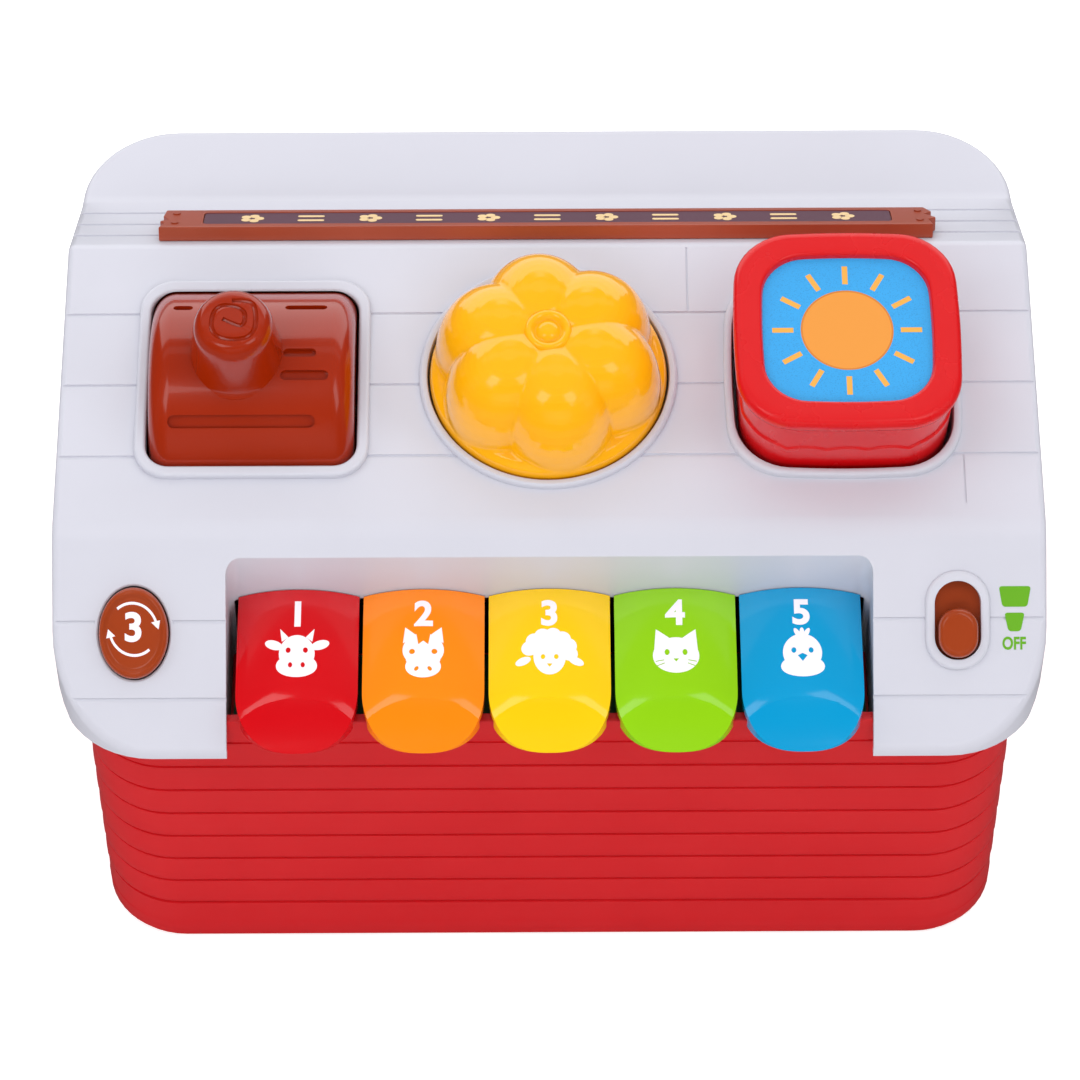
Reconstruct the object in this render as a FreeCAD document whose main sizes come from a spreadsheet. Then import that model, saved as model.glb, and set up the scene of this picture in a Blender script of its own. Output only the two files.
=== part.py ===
"""Barn-shaped musical toy with piano keys in front and five pop-up animal doors behind.

Millimetres. +X to the right and +Z up, seen from the keyboard side, which faces -Y.
The origin is on the floor, under the middle of the toy's length and depth.
"""
import FreeCAD, Part
import os
import re
from math import radians

import Sketcher
from FreeCAD import Placement, Rotation, Vector

os.makedirs("parts", exist_ok=True)
doc = FreeCAD.newDocument("popup_barn")

# ---------------------------------------------------------------- driving sizes
SIZES = {
    # roof: profile seen from the side, rear to the right of the ridge
    "roof_width": 300.0,
    "ridge_y": 43.0,
    "ridge_height": 172.0,
    "front_run": 99.2,
    "front_pitch": 10.6,
    "eave_run": 52.1,
    "eave_pitch": 39.8,
    "rear_run": 39.7,
    "rear_pitch": 28.2,
    "ledge_run": 30.3,
    "ledge_pitch": 3.0,
    "roof_wall": 2.5,
    "roof_corner": 30.0,
    "skirt_depth": 14.0,
    "lip_depth": 2.5,
    # base: straight walls under the roof
    "base_side_setback": 7.7,
    "base_front_setback": 8.3,
    "base_rear_setback": 8.0,
    "base_wall": 2.5,
    "base_corner": 25.0,
    "base_lift": 1.0,
    "siding_first": 19.25,
    "siding_pitch": 12.25,
    "siding_count": 12,
    "siding_cut": 1.1,
    "siding_depth": 0.9,
    "post_dia": 9.0,
    "post_height": 60.0,
    "post_offset": 12.0,
    "post_sink": 0.6,
    "joint_gap": 0.3,
    "pin_fit": 0.02,
    "weld": 0.2,
    # how far cutting blocks stand out of what they cut
    "cut_reach": 10.0,
    "cut_margin": 1.0,
    # keys
    "key_count": 5,
    "key_pitch": 38.1,
    "key_width": 36.8,
    "key_hinge_y": 95.0,
    "key_hinge_drop": 46.5,
    "key_top_drop": 37.7,
    "key_pitch_down": 10.0,
    "key_nose_reach": 156.0,
    "key_nose_drop": 55.5,
    "key_facet_y": 140.3,
    "key_under_drop": 52.5,
    "key_nose_depth": 9.5,
    "key_nose_flat": 0.4,
    "key_crown": 4.0,
    "key_arm_reach": 50.0,
    "key_arm_thick": 5.0,
    "key_arm_width": 8.0,
    "key_wall": 2.2,
    "key_rear_lap": 5.5,
    "key_boss_dia": 10.0,
    "key_nose_round": 3.0,
    "key_plunger_width": 6.0,
    "key_plunger_height": 9.0,
    "key_plunger_reach": 24.0,
    "key_plunger_drop": 2.0,
    "key_shaft_dia": 4.0,
    "run_clearance": 0.06,
    "bay_side_gap": 2.25,
    "bay_rear_y": 106.0,
    "bay_wall": 2.5,
    "bay_rear_depth": 14.8,
    "bay_rear_lap": 6.0,
    "bay_side_drop": 22.0,
    "bay_side_lap": 7.0,
    "bay_cut_depth": 55.0,
    "sill_rise": 5.27,
    "sill_depth": 12.0,
    "sill_end_gap": 1.0,
    "shelf_drop": 25.0,
    "shelf_depth": 34.0,
    "shelf_thick": 2.0,
    "key_board_rise": 2.0,
    "key_board_depth": 30.0,
    "dome_base_dia": 12.0,
    "dome_top_dia": 8.0,
    # push rods
    "rod_width": 6.0,
    "rod_depth": 4.0,
    "rod_drop": 93.5,
    "rod_clearance": 0.2,
    "rod_travel_room": 3.6,
    "rod_collar_lap": 2.0,
    "rod_collar_rise": 1.5,
    "rod_collar_row": 70.0,
    "rod_slot_row": 80.0,
    "rib_front_row": 62.0,
    "rib_rear_row": 4.0,
    "rib_thick": 2.5,
    "rib_height": 18.0,
    # doors and stalls at the rear
    "door_width": 35.0,
    "door_drop": 44.0,
    "door_height": 52.0,
    "door_thick": 3.0,
    "door_lap": 2.0,
    "door_pin_dia": 2.5,
    "door_knuckle_dia": 6.0,
    "door_knuckle_width": 8.0,
    "door_knuckle_gap": 0.4,
    "door_top_gap": 1.0,
    "door_panel_gap": 4.0,
    "door_trim_width": 3.5,
    "door_trim_proud": 1.0,
    "door_trim_inset": 2.0,
    "door_strap": 6.0,
    "hinge_ear_wall": 2.2,
    "hinge_ear_sink": 0.5,
    "door_spring_length": 7.0,
    "door_spring_wall": 1.1,
    "door_spring_leg": 3.0,
    "stall_depth": 36.0,
    "stall_wall": 2.0,
    "figure_width": 25.0,
    "figure_tall": 29.0,
    "figure_thick": 9.5,
    "figure_from_hinge": 21.5,
    "figure_neck": 3.5,
    "figure_head_share": 0.45,
    # controls on the front slope
    "control_row": 48.3,
    "rim_height": 2.2,
    "log_inset": 58.5,
    "log_window_width": 67.3,
    "log_window_depth": 62.8,
    "log_rim": 3.8,
    "log_window_corner": 7.0,
    "log_radius": 36.0,
    "log_drop": 21.0,
    "log_gap": 0.9,
    "log_wall": 3.2,
    "log_end_round": 7.0,
    "log_pin_dia": 4.0,
    "log_hub_dia": 9.0,
    "log_cut_drop": 5.0,
    "log_ear_wall": 2.6,
    "log_ear_width": 14.0,
    "log_ear_reach": 6.0,
    "stub_offset": 3.0,
    "stub_base_dia": 29.0,
    "stub_top_dia": 23.5,
    "stub_height": 19.0,
    "stub_root": 4.0,
    "pumpkin_dia": 72.0,
    "pumpkin_height": 28.5,
    "pumpkin_gap": 1.0,
    "pumpkin_lobes": 6,
    "pumpkin_lobe_turn": 39.0,
    "pumpkin_lobe_share": 0.58,
    "pumpkin_wall": 4.0,
    "pumpkin_side_wall": 7.0,
    "collar_wall": 2.6,
    "cup_depth": 10.0,
    "pumpkin_shaft_dia": 8.0,
    "pumpkin_hub_dia": 14.0,
    "pumpkin_hub_rise": 1.0,
    "pumpkin_hub_depth": 3.5,
    "pumpkin_floor_gap": 1.0,
    "pumpkin_shaft_out": 2.0,
    "washer_thick": 1.2,
    "washer_lap": 4.0,
    "washer_screw_length": 9.0,
    "sun_inset": 58.8,
    "sun_rim_width": 68.0,
    "sun_body_width": 64.0,
    "sun_corner": 19.0,
    "sun_height": 29.0,
    "sun_rim_depth": 6.0,
    "sun_gap": 1.0,
    "sun_skirt": 8.0,
    "sun_rim_lap": 2.0,
    "sun_stem_dia": 14.0,
    "sun_plate_thick": 1.0,
    "sun_plate_gap": 0.2,
    "sun_spring_dia": 11.0,
    "spring_wall": 2.0,
    "sun_wall": 2.5,
    "sun_picture_width": 50.0,
    "sun_picture_corner": 13.0,
    "sun_recess": 1.6,
    "sun_cup_depth": 20.0,
    # small controls on the eave slope
    "mode_inset": 24.8,
    "mode_row": 31.3,
    "mode_width": 21.0,
    "mode_depth": 27.6,
    "mode_proud": 2.6,
    "mode_gap": 0.35,
    "mode_skirt": 5.0,
    "mode_wall": 2.0,
    "mode_stem_dia": 6.0,
    "mode_spring_dia": 5.6,
    "mode_spring_wall": 1.0,
    "mode_guide_wall": 1.6,
    "mode_guide_depth": 8.0,
    "switch_offset": 0.85,
    "switch_row": 28.5,
    "slot_width": 14.0,
    "slot_corner_cut": 0.5,
    "switch_rim_width": 19.5,
    "switch_rim_length": 30.0,
    "switch_rim_height": 1.5,
    "knob_width": 12.2,
    "knob_length": 15.0,
    "knob_proud": 4.5,
    "knob_travel": 7.0,
    "knob_end_gap": 0.9,
    "knob_rest_gap": 0.6,
    "knob_sink": 3.2,
    "knob_plate_lap": 5.0,
    "knob_plate_side": 2.0,
    "knob_plate_sink": 4.6,
    "knob_plate_thick": 1.8,
    "knob_tail_depth": 8.0,
    "knob_tail_width": 4.0,
    "knob_tail_length": 3.0,
    "switch_floor": 12.0,
    "switch_post_width": 10.0,
    "switch_post_depth": 4.0,
    "switch_body_width": 7.0,
    "switch_body_length": 20.0,
    "switch_body_height": 3.7,
    "switch_body_shift": 1.0,
    "switch_board_width": 12.0,
    "switch_board_lap": 7.0,
    # sign on the rear slope
    "sign_inset": 28.0,
    "sign_depth": 17.0,
    "sign_thick": 4.8,
    "sign_row": 4.0,
    "panel_inset": 14.0,
    "panel_depth": 11.0,
    "panel_recess": 0.8,
    "panel_thick": 0.6,
    "panel_gap": 0.2,
    "nail_dia": 2.4,
    "nail_fit": 0.04,
    "nail_length": 2.4,
    "nail_depth": 2.0,
    "nail_inset": 5.0,
    "nail_row": 4.0,
    # bottom, power and sound
    "plate_thick": 2.5,
    "plate_gap": 0.3,
    "foot_dia": 14.0,
    "foot_inset": 22.0,
    "foot_height": 2.4,
    "foot_taper": 1.0,
    "cell_dia": 14.5,
    "cell_length": 50.5,
    "cell_pitch": 15.5,
    "cell_count": 3,
    "cell_tip": 1.0,
    "cell_tip_dia": 5.5,
    "cell_rest": 0.6,
    "cell_shift": 1.5,
    "contact_thick": 0.5,
    "contact_gap": 0.1,
    "contact_coil_dia": 8.0,
    "battery_end_room": 8.0,
    "battery_side_room": 2.0,
    "battery_headroom": 3.0,
    "battery_roof": 1.0,
    "battery_x": 75.0,
    "battery_y": 12.0,
    "battery_wall": 2.0,
    "lid_margin": 3.0,
    "lid_recess": 0.5,
    "lid_screw_offset": 0.5,
    "lid_screw_length": 7.0,
    "case_screw_length": 14.0,
    "post_hole_depth": 15.0,
    "screw_dia": 3.0,
    "screw_head_dia": 5.6,
    "screw_head_height": 1.6,
    "screw_thread_gap": 0.1,
    "screw_clearance": 0.4,
    "board_length": 90.0,
    "board_width": 60.0,
    "board_thick": 1.6,
    "board_lift": 9.0,
    "board_hole_inset": 5.0,
    "board_hole_dia": 2.6,
    "stand_dia": 6.0,
    "stand_hole_dia": 2.0,
    "board_screw_dia": 1.9,
    "board_screw_length": 7.0,
    "board_screw_head_dia": 4.6,
    "board_screw_head_height": 1.4,
    "chip_length": 16.0,
    "chip_width": 12.0,
    "chip_height": 2.0,
    "capacitor_dia": 8.0,
    "capacitor_height": 11.0,
    "capacitor_x": 25.0,
    "capacitor_y": 12.0,
    "speaker_dia": 50.0,
    "speaker_height": 17.0,
    "speaker_x": 0.0,
    "speaker_y": 12.0,
    "speaker_ring_height": 2.0,
    "speaker_cone_share": 0.6,
    "speaker_magnet_share": 0.5,
    "speaker_magnet_height": 5.1,
    "grille_slots": 7,
    "grille_length": 30.0,
    "grille_pitch": 5.0,
    "grille_width": 2.0,
}

sheet = doc.addObject("Spreadsheet::Sheet", "Sizes")
for row, (alias, value) in enumerate(SIZES.items(), start=1):
    sheet.set(f"A{row}", alias)
    sheet.set(f"B{row}", str(value))
    sheet.setAlias(f"B{row}", alias)
doc.recompute()

KEYS = range(int(sheet.key_count))
QUARTER = 90
TOUCH = 0.01

# ---------------------------------------------------------------- derived places, as expressions
KINK_Y = "(ridge_y - front_run)"
KINK_Z = "(ridge_height - front_run * tan(front_pitch))"
EAVE_Y = f"({KINK_Y} - eave_run)"
EAVE_Z = f"({KINK_Z} - eave_run * tan(eave_pitch))"
VALLEY_Y = "(ridge_y + rear_run)"
VALLEY_Z = "(ridge_height - rear_run * tan(rear_pitch))"
REAR_Y = f"({VALLEY_Y} + ledge_run)"
REAR_Z = f"({VALLEY_Z} + ledge_run * tan(ledge_pitch))"
BASE_FRONT = f"({EAVE_Y} + base_front_setback)"
BASE_REAR = f"({REAR_Y} - base_rear_setback)"
HALF_BASE = "(roof_width / 2 - base_side_setback)"
BAY_WIDTH = "(key_count * key_pitch + 2 * bay_side_gap)"
NOSE_CORNER = "(key_width / 2 - key_nose_flat)"
SILL_Z = f"({EAVE_Z} + sill_rise)"
HINGE_Y = "(ridge_y - key_hinge_y)"
HINGE_Z = "(ridge_height - key_hinge_drop)"
ROD_Z = "(ridge_height - rod_drop)"
DOOR_HINGE_Y = f"({BASE_REAR} + door_knuckle_dia / 2)"
DOOR_HINGE_Z = "(ridge_height - door_drop)"
LOG_X = "(roof_width / 2 - log_inset)"
SUN_X = "(roof_width / 2 - sun_inset)"
MODE_X = "(roof_width / 2 - mode_inset)"
SWITCH_X = f"((roof_width + {BAY_WIDTH}) / 4 - switch_offset)"
SLOT_LENGTH = "(knob_length + knob_travel + 2 * knob_end_gap)"
SIGN_WIDTH = "(roof_width - 2 * sign_inset)"
PLATE_Z = "foot_height"
FLOOR_Z = f"({PLATE_Z} + plate_thick)"
PROFILE_FLOOR = "(ridge_height / 3)"


def bound(text):
    """Prefix every size named in an expression with the sheet's name."""
    return re.sub(r"[a-z_]+[a-z0-9_]*", lambda m: m[0] if m[0] not in SIZES else f"Sizes.{m[0]}", text)


def bind(thing, **settings):
    """Bind properties of an object to expressions; __ in a name stands for a dot."""
    for name, text in settings.items():
        thing.setExpression(name.replace("__", "."), bound(str(text)))
    return thing


def move(thing, x="0", y="0", z="0"):
    return bind(thing, Placement__Base__x=x, Placement__Base__y=y, Placement__Base__z=z)


def tilt(thing, angle):
    """Turn an object about X by a bound angle, keeping its place."""
    thing.Placement = Placement(thing.Placement.Base, Rotation(Vector(1, 0, 0), 5))
    return bind(thing, Placement__Rotation__Angle=angle)


# ---------------------------------------------------------------- solids
def box(name, x, y, z, length, width, height):
    return move(bind(doc.addObject("Part::Box", name), Length=length, Width=width, Height=height), x, y, z)


def centred_box(name, length, width, height, x="0", y="0", z="0"):
    """A box centred on x and y, standing on z."""
    return box(name, f"{x} - ({length}) / 2", f"{y} - ({width}) / 2", z, length, width, height)


AXES = {"x": Rotation(Vector(0, 1, 0), 90), "y": Rotation(Vector(1, 0, 0), -90), "z": Rotation()}


def cylinder(name, dia, length, x="0", y="0", z="0", axis="z"):
    """A cylinder that starts at the point and runs along the axis."""
    rod = doc.addObject("Part::Cylinder", name)
    rod.Placement = Placement(Vector(), AXES[axis])
    return move(bind(rod, Radius=f"({dia}) / 2", Height=length), x, y, z)


def cone(name, lower, upper, height, x="0", y="0", z="0"):
    return move(bind(doc.addObject("Part::Cone", name), Radius1=f"({lower}) / 2", Radius2=f"({upper}) / 2",
                     Height=height), x, y, z)


def cut(name, base, *tools):
    """Take all the tools away from the base in one step."""
    trimmed = doc.addObject("Part::Cut", name)
    trimmed.Base = base
    trimmed.Tool = tools[0] if len(tools) == 1 else fuse(f"{name}_tools", *tools)
    return trimmed


def fuse(name, *things):
    joined = doc.addObject("Part::MultiFuse", name)
    joined.Shapes = list(things)
    return joined


def common(name, *things):
    shared = doc.addObject("Part::MultiCommon", name)
    shared.Shapes = list(things)
    return shared


def group(name, *things):
    """Several separate solids kept as one sub-part."""
    held = doc.addObject("Part::Compound", name)
    held.Links = list(things)
    return held


PLANES = {"XY": Rotation(), "XZ": Rotation(Vector(1, 0, 0), 90), "YZ": Rotation(Vector(1, 1, 1), 120)}


def place_points(sketch, corners):
    """Close a loop of straight lines through the corners and bind each corner to its expressions."""
    first = sketch.GeometryCount
    total = len(corners)
    guess = [Vector(number_of(x), number_of(y), 0) for x, y in corners]
    for i in range(total):
        sketch.addGeometry(Part.LineSegment(guess[i], guess[(i + 1) % total]), False)
    for i in range(total):
        sketch.addConstraint(Sketcher.Constraint("Coincident", first + i, 2, first + (i + 1) % total, 1))
    for i, (x, y) in enumerate(corners):
        for kind, text, value in (("DistanceX", x, guess[i].x), ("DistanceY", y, guess[i].y)):
            index = sketch.addConstraint(Sketcher.Constraint(kind, -1, 1, first + i, 1, value))
            sketch.setExpression(f"Constraints[{index}]", bound(str(text)))


def number_of(text):
    """The present value of an expression, used as a sketch's first guess."""
    return float(sheet.evalExpression(bound(str(text)).replace("Sizes.", "")))


def prism(name, plane, corners, length, start=None):
    """Extrude a polygon: both ways from its plane, or from start along the plane's normal."""
    sketch = doc.addObject("Sketcher::SketchObject", f"{name}_outline")
    sketch.Placement = Placement(Vector(), PLANES[plane])
    place_points(sketch, corners)
    solid = doc.addObject("Part::Extrusion", name)
    solid.Base = sketch
    solid.DirMode = "Normal"
    solid.Solid = True
    solid.Symmetric = start is None
    bind(solid, LengthFwd=length)
    if start is not None:
        normal = {"XY": "z", "XZ": "y", "YZ": "x"}[plane]
        bind(sketch, **{f"Placement__Base__{normal}": start})
    return solid


def origin_plane(body, role):
    return next(item for item in body.Origin.OriginFeatures if item.Role == role)


def rounded_loop(sketch, half_x, low_y, high_y, radius):
    """A rectangle centred on x with four equal round corners."""
    hx, y0, y1, r = (number_of(text) for text in (half_x, low_y, high_y, radius))
    first = sketch.GeometryCount
    corners = [(hx - r, y0 + r, -QUARTER), (hx - r, y1 - r, 0), (r - hx, y1 - r, QUARTER),
               (r - hx, y0 + r, 2 * QUARTER)]
    ends = [((r - hx, y0), (hx - r, y0)), ((hx, y0 + r), (hx, y1 - r)),
            ((hx - r, y1), (r - hx, y1)), ((-hx, y1 - r), (-hx, y0 + r))]
    for (start, end), (cx, cy, angle) in zip(ends, corners):
        sketch.addGeometry(Part.LineSegment(Vector(*start, 0), Vector(*end, 0)), False)
        circle = Part.Circle(Vector(cx, cy, 0), Vector(0, 0, 1), r)
        sketch.addGeometry(Part.ArcOfCircle(circle, radians(angle), radians(angle + QUARTER)), False)
    for side in range(4):
        line, arc = first + 2 * side, first + 2 * side + 1
        sketch.addConstraint(Sketcher.Constraint("Tangent", line, 2, arc, 1))
        sketch.addConstraint(Sketcher.Constraint("Tangent", arc, 2, first + (2 * side + 2) % 8, 1))
        sketch.addConstraint(Sketcher.Constraint("Horizontal" if side % 2 == 0 else "Vertical", line))
        if side:
            sketch.addConstraint(Sketcher.Constraint("Equal", first + 1, arc))
    for kind, line, text, value in (("Radius", 1, radius, r), ("DistanceY", 0, low_y, y0),
                                    ("DistanceX", 2, half_x, hx), ("DistanceY", 4, high_y, y1),
                                    ("DistanceX", 6, f"-({half_x})", -hx)):
        if kind == "Radius":
            index = sketch.addConstraint(Sketcher.Constraint(kind, first + line, value))
        else:
            index = sketch.addConstraint(Sketcher.Constraint(kind, -1, 1, first + line, 1, value))
        sketch.setExpression(f"Constraints[{index}]", bound(str(text)))


def body_sketch(body, name, plane, offset="0"):
    sketch = body.newObject("Sketcher::SketchObject", name)
    sketch.AttachmentSupport = [(origin_plane(body, f"{plane}_Plane"), "")]
    sketch.MapMode = "FlatFace"
    return bind(sketch, AttachmentOffset__Base__z=offset)


def pad(body, sketch, length, symmetric=False):
    feature = body.newObject("PartDesign::Pad", f"{sketch.Name}_pad")
    feature.Profile = sketch
    feature.SideType = "Symmetric" if symmetric else "One side"
    return bind(feature, Length=length)


def pocket(body, sketch, length, reverse=False):
    """Cut the body and make sure that the cut points into it."""
    before = body.Shape.Volume
    feature = body.newObject("PartDesign::Pocket", f"{sketch.Name}_cut")
    feature.Profile = sketch
    feature.Reversed = reverse
    bind(feature, Length=length)
    doc.recompute([body])
    if not body.Shape.Volume < before:
        raise ValueError(f"{sketch.Name} cuts nothing")
    return feature


def rounded_block(name, half_x, low_y, high_y, low_z, height, radius):
    """A block centred on x with round vertical corners."""
    body = doc.addObject("PartDesign::Body", name)
    outline = body_sketch(body, f"{name}_plan", "XY", low_z)
    rounded_loop(outline, half_x, low_y, high_y, radius)
    pad(body, outline, height)
    return body


# Each slope has its own frame: x along the toy, y up the slope and z out of its face.
def seat(thing, angle, x, y, z):
    """Carry a thing modelled in a slope's frame to its place on that slope."""
    return move(tilt(group(f"{thing.Name}_seated", thing), angle), x, y, z)


def on_front_slope(thing, x, row="control_row"):
    """Seat a thing on the front slope, row measured down from the ridge."""
    return seat(thing, "front_pitch", x, f"ridge_y - {row} * cos(front_pitch)",
                f"ridge_height - {row} * sin(front_pitch)")


def on_eave_slope(thing, x, row):
    """Seat a thing on the eave slope, row measured down from the kink."""
    return seat(thing, "eave_pitch", x, f"{KINK_Y} - {row} * cos(eave_pitch)",
                f"{KINK_Z} - {row} * sin(eave_pitch)")


def on_rear_slope(thing, x, row):
    """Seat a thing on the rear slope, row measured down from the ridge."""
    return seat(thing, "-rear_pitch", x, f"ridge_y + {row} * cos(rear_pitch)",
                f"ridge_height - {row} * sin(rear_pitch)")


def key_x(number):
    return f"(({number} - (key_count - 1) / 2) * key_pitch)"


NODES = []


def node(thing, label):
    """Name a finished sub-part."""
    thing.Label = label
    NODES.append(thing)
    return thing


# ---------------------------------------------------------------- roof shell
def roof_profile(name, drop, length):
    """The roof's profile, dropped by the wall for the hollow, closed well below the roof."""
    top = [(EAVE_Y, EAVE_Z), (KINK_Y, KINK_Z), ("ridge_y", "ridge_height"), (VALLEY_Y, VALLEY_Z),
           (REAR_Y, REAR_Z)]
    corners = [(EAVE_Y, PROFILE_FLOOR)] + [(y, f"{z} - {drop}") for y, z in top] + [(REAR_Y, PROFILE_FLOOR)]
    return prism(name, "YZ", corners, length)


def roof_plan(name, inset):
    return rounded_block(name, f"roof_width / 2 - {inset}", f"{EAVE_Y} + {inset}", f"{REAR_Y} - {inset}",
                         "0", "ridge_height + cut_reach", f"roof_corner - {inset}")


def skirt_line():
    """Everything below the roof's skirt, to be cut away."""
    lip_z = f"({EAVE_Z} - lip_depth)"
    lip_y = f"({EAVE_Y} + (skirt_depth - lip_depth) / tan(eave_pitch))"
    front, rear = f"{EAVE_Y} - cut_reach", f"{REAR_Y} + cut_reach"
    corners = [(front, "-cut_reach"), (front, lip_z), (lip_y, lip_z),
               (KINK_Y, f"{KINK_Z} - skirt_depth"), ("ridge_y", "ridge_height - skirt_depth"),
               (VALLEY_Y, f"{VALLEY_Z} - skirt_depth"), (REAR_Y, f"{REAR_Z} - skirt_depth"),
               (rear, f"{REAR_Z} - skirt_depth"), (rear, "-cut_reach")]
    return prism("skirt_line", "YZ", corners, "roof_width + 2 * cut_reach")


def roof_skin():
    across = "roof_width + cut_reach"
    outer = common("roof_outer", roof_profile("roof_over", "0", across), roof_plan("roof_plan", "0"))
    inner = common("roof_hollow", roof_profile("roof_under", "roof_wall", across),
                   roof_plan("roof_plan_inner", "roof_wall"))
    return cut("roof_skin", outer, inner, skirt_line())


def key_bay_walls():
    """Rear and side walls of the key bay, which also carry the key shaft."""
    depth = f"({EAVE_Y} + base_front_setback + base_wall + joint_gap)"
    rear = box("bay_rear", f"-{BAY_WIDTH} / 2", "ridge_y - bay_rear_y",
               f"{KINK_Z} - bay_rear_lap - bay_rear_depth", BAY_WIDTH, "bay_wall",
               "bay_rear_depth + 2 * bay_rear_lap")
    sides = [box(f"bay_side_{side}", x, depth, f"{HINGE_Z} - bay_side_drop", "bay_wall",
                 f"{HINGE_Y} + bay_side_lap - {depth}", "bay_side_drop + key_hinge_drop")
             for side, x in (("left", f"-{BAY_WIDTH} / 2 - bay_wall"), ("right", f"{BAY_WIDTH} / 2"))]
    walls = fuse("bay_walls_raw", rear, *sides)
    return common("bay_walls", walls, roof_profile("bay_limit", "roof_wall / 2", "roof_width"))


def front_slope_trim():
    """Raised frame and collars on the front slope, with what hangs below them."""
    log_frame = rounded_block("log_frame", "log_window_width / 2 + log_rim", "-log_window_depth / 2 - log_rim",
                              "log_window_depth / 2 + log_rim", "-roof_wall / 2", "rim_height + roof_wall / 2",
                              "log_window_corner + log_rim")
    ears = [box(f"log_ear_{side}", x, "-log_ear_width / 2", "-log_drop - log_ear_reach", "log_ear_wall",
                "log_ear_width", "log_drop + log_ear_reach - roof_wall / 2")
            for side, x in (("left", "-log_window_width / 2 - log_ear_wall"),
                            ("right", "log_window_width / 2"))]
    log_side = on_front_slope(fuse("log_side", log_frame, *ears), f"-{LOG_X}")
    ring_dia = "(pumpkin_dia + 2 * pumpkin_gap + 2 * collar_wall)"
    cup = cylinder("pumpkin_cup_raw", ring_dia, "rim_height + cup_depth + collar_wall",
                   z="-cup_depth - collar_wall")
    pumpkin_side = on_front_slope(cup, "0")
    half = "(sun_body_width / 2 + sun_gap + collar_wall)"
    socket = rounded_block("sun_socket", half, f"-{half}", half, "-sun_cup_depth - collar_wall",
                           "sun_cup_depth + collar_wall + rim_height", "sun_corner + sun_gap + collar_wall")
    sun_side = on_front_slope(socket, SUN_X)
    return [log_side, pumpkin_side, sun_side]


def front_slope_openings():
    """The log window, the pumpkin's cup with its shaft bore, the sun's well and its guide bore."""
    window = rounded_block("log_window", "log_window_width / 2", "-log_window_depth / 2",
                           "log_window_depth / 2", "-cut_reach", "2 * cut_reach", "log_window_corner")
    log_bore = cylinder("log_ear_bore", "log_pin_dia + pin_fit", "log_window_width + 2 * cut_reach",
                        x="-log_window_width / 2 - cut_reach", z="-log_drop", axis="x")
    cup = cylinder("pumpkin_cup_bore", "pumpkin_dia + 2 * pumpkin_gap", "cup_depth + cut_reach", z="-cup_depth")
    shaft = cylinder("pumpkin_shaft_bore", "pumpkin_shaft_dia + 2 * run_clearance", "2 * cut_reach",
                     z="-cup_depth - cut_reach")
    half = "(sun_body_width / 2 + sun_gap)"
    well = rounded_block("sun_well", half, f"-{half}", half, "-sun_cup_depth", "sun_cup_depth + cut_reach",
                         "sun_corner + sun_gap")
    return [on_front_slope(window, f"-{LOG_X}"), on_front_slope(log_bore, f"-{LOG_X}"),
            on_front_slope(cup, "0"), on_front_slope(shaft, "0"), on_front_slope(well, SUN_X)]


def oval(name, half_x, half_y, low, height):
    """An upright elliptic block, bound to its two half widths."""
    disc = doc.addObject("Part::Ellipse", f"{name}_edge")
    disc.Placement = Placement(Vector(), Rotation(Vector(0, 0, 1), 90))
    bind(disc, MajorRadius=half_y, MinorRadius=half_x, Placement__Base__z=low)
    solid = doc.addObject("Part::Extrusion", name)
    solid.Base = disc
    solid.DirMode = "Custom"
    solid.Dir = Vector(0, 0, 1)
    solid.Solid = True
    return bind(solid, LengthFwd=height)


def eave_slope_trim():
    rim = rounded_block("switch_rim", "switch_rim_width / 2", "-switch_rim_length / 2",
                        "switch_rim_length / 2", "-roof_wall / 2", "switch_rim_height + roof_wall / 2",
                        "switch_rim_width / 2 - cut_margin")
    posts = [centred_box(f"switch_post_{side}", "switch_post_width", "switch_post_depth",
                         "switch_floor - roof_wall / 2", y=y, z="-switch_floor")
             for side, y in (("low", "-switch_rim_length / 2 - switch_post_depth"),
                             ("high", "switch_rim_length / 2 + switch_post_depth"))]
    switch_side = on_eave_slope(fuse("switch_side", rim, *posts), SWITCH_X, "switch_row")
    half_x, half_y = (f"mode_{side} / 2 + mode_gap + mode_guide_wall" for side in ("width", "depth"))
    guide = oval("mode_guide", half_x, half_y, "-mode_guide_depth - mode_guide_wall",
                 "mode_guide_depth + mode_guide_wall - roof_wall / 2")
    mode_side = on_eave_slope(guide, f"-{MODE_X}", "mode_row")
    return [switch_side, mode_side]


def eave_slope_openings():
    slot = rounded_block("switch_slot", "slot_width / 2", f"-{SLOT_LENGTH} / 2", f"{SLOT_LENGTH} / 2",
                         "-cut_reach / 2", "cut_reach", "slot_width / 2 - slot_corner_cut")
    mode = oval("mode_hole", "mode_width / 2 + mode_gap", "mode_depth / 2 + mode_gap", "-mode_guide_depth",
                "mode_guide_depth + cut_reach")
    return [on_eave_slope(slot, SWITCH_X, "switch_row"), on_eave_slope(mode, f"-{MODE_X}", "mode_row")]


def make_roof():
    trim = front_slope_trim() + eave_slope_trim()
    bay_top = box("bay_opening", f"-{BAY_WIDTH} / 2", f"{EAVE_Y} - cut_reach", "ridge_height / 2", BAY_WIDTH,
                  f"ridge_y - bay_rear_y - {EAVE_Y} + cut_reach", "ridge_height")
    shaft_hole = cylinder("bay_shaft_hole", "key_shaft_dia + pin_fit", "roof_width",
                          x="-roof_width / 2", y=HINGE_Y, z=HINGE_Z, axis="x")
    whole = fuse("roof_whole", roof_skin(), key_bay_walls(), *trim)
    return node(cut("roof_cut", whole, bay_top, shaft_hole, *front_slope_openings(), *eave_slope_openings()),
                "roof_shell")


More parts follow.
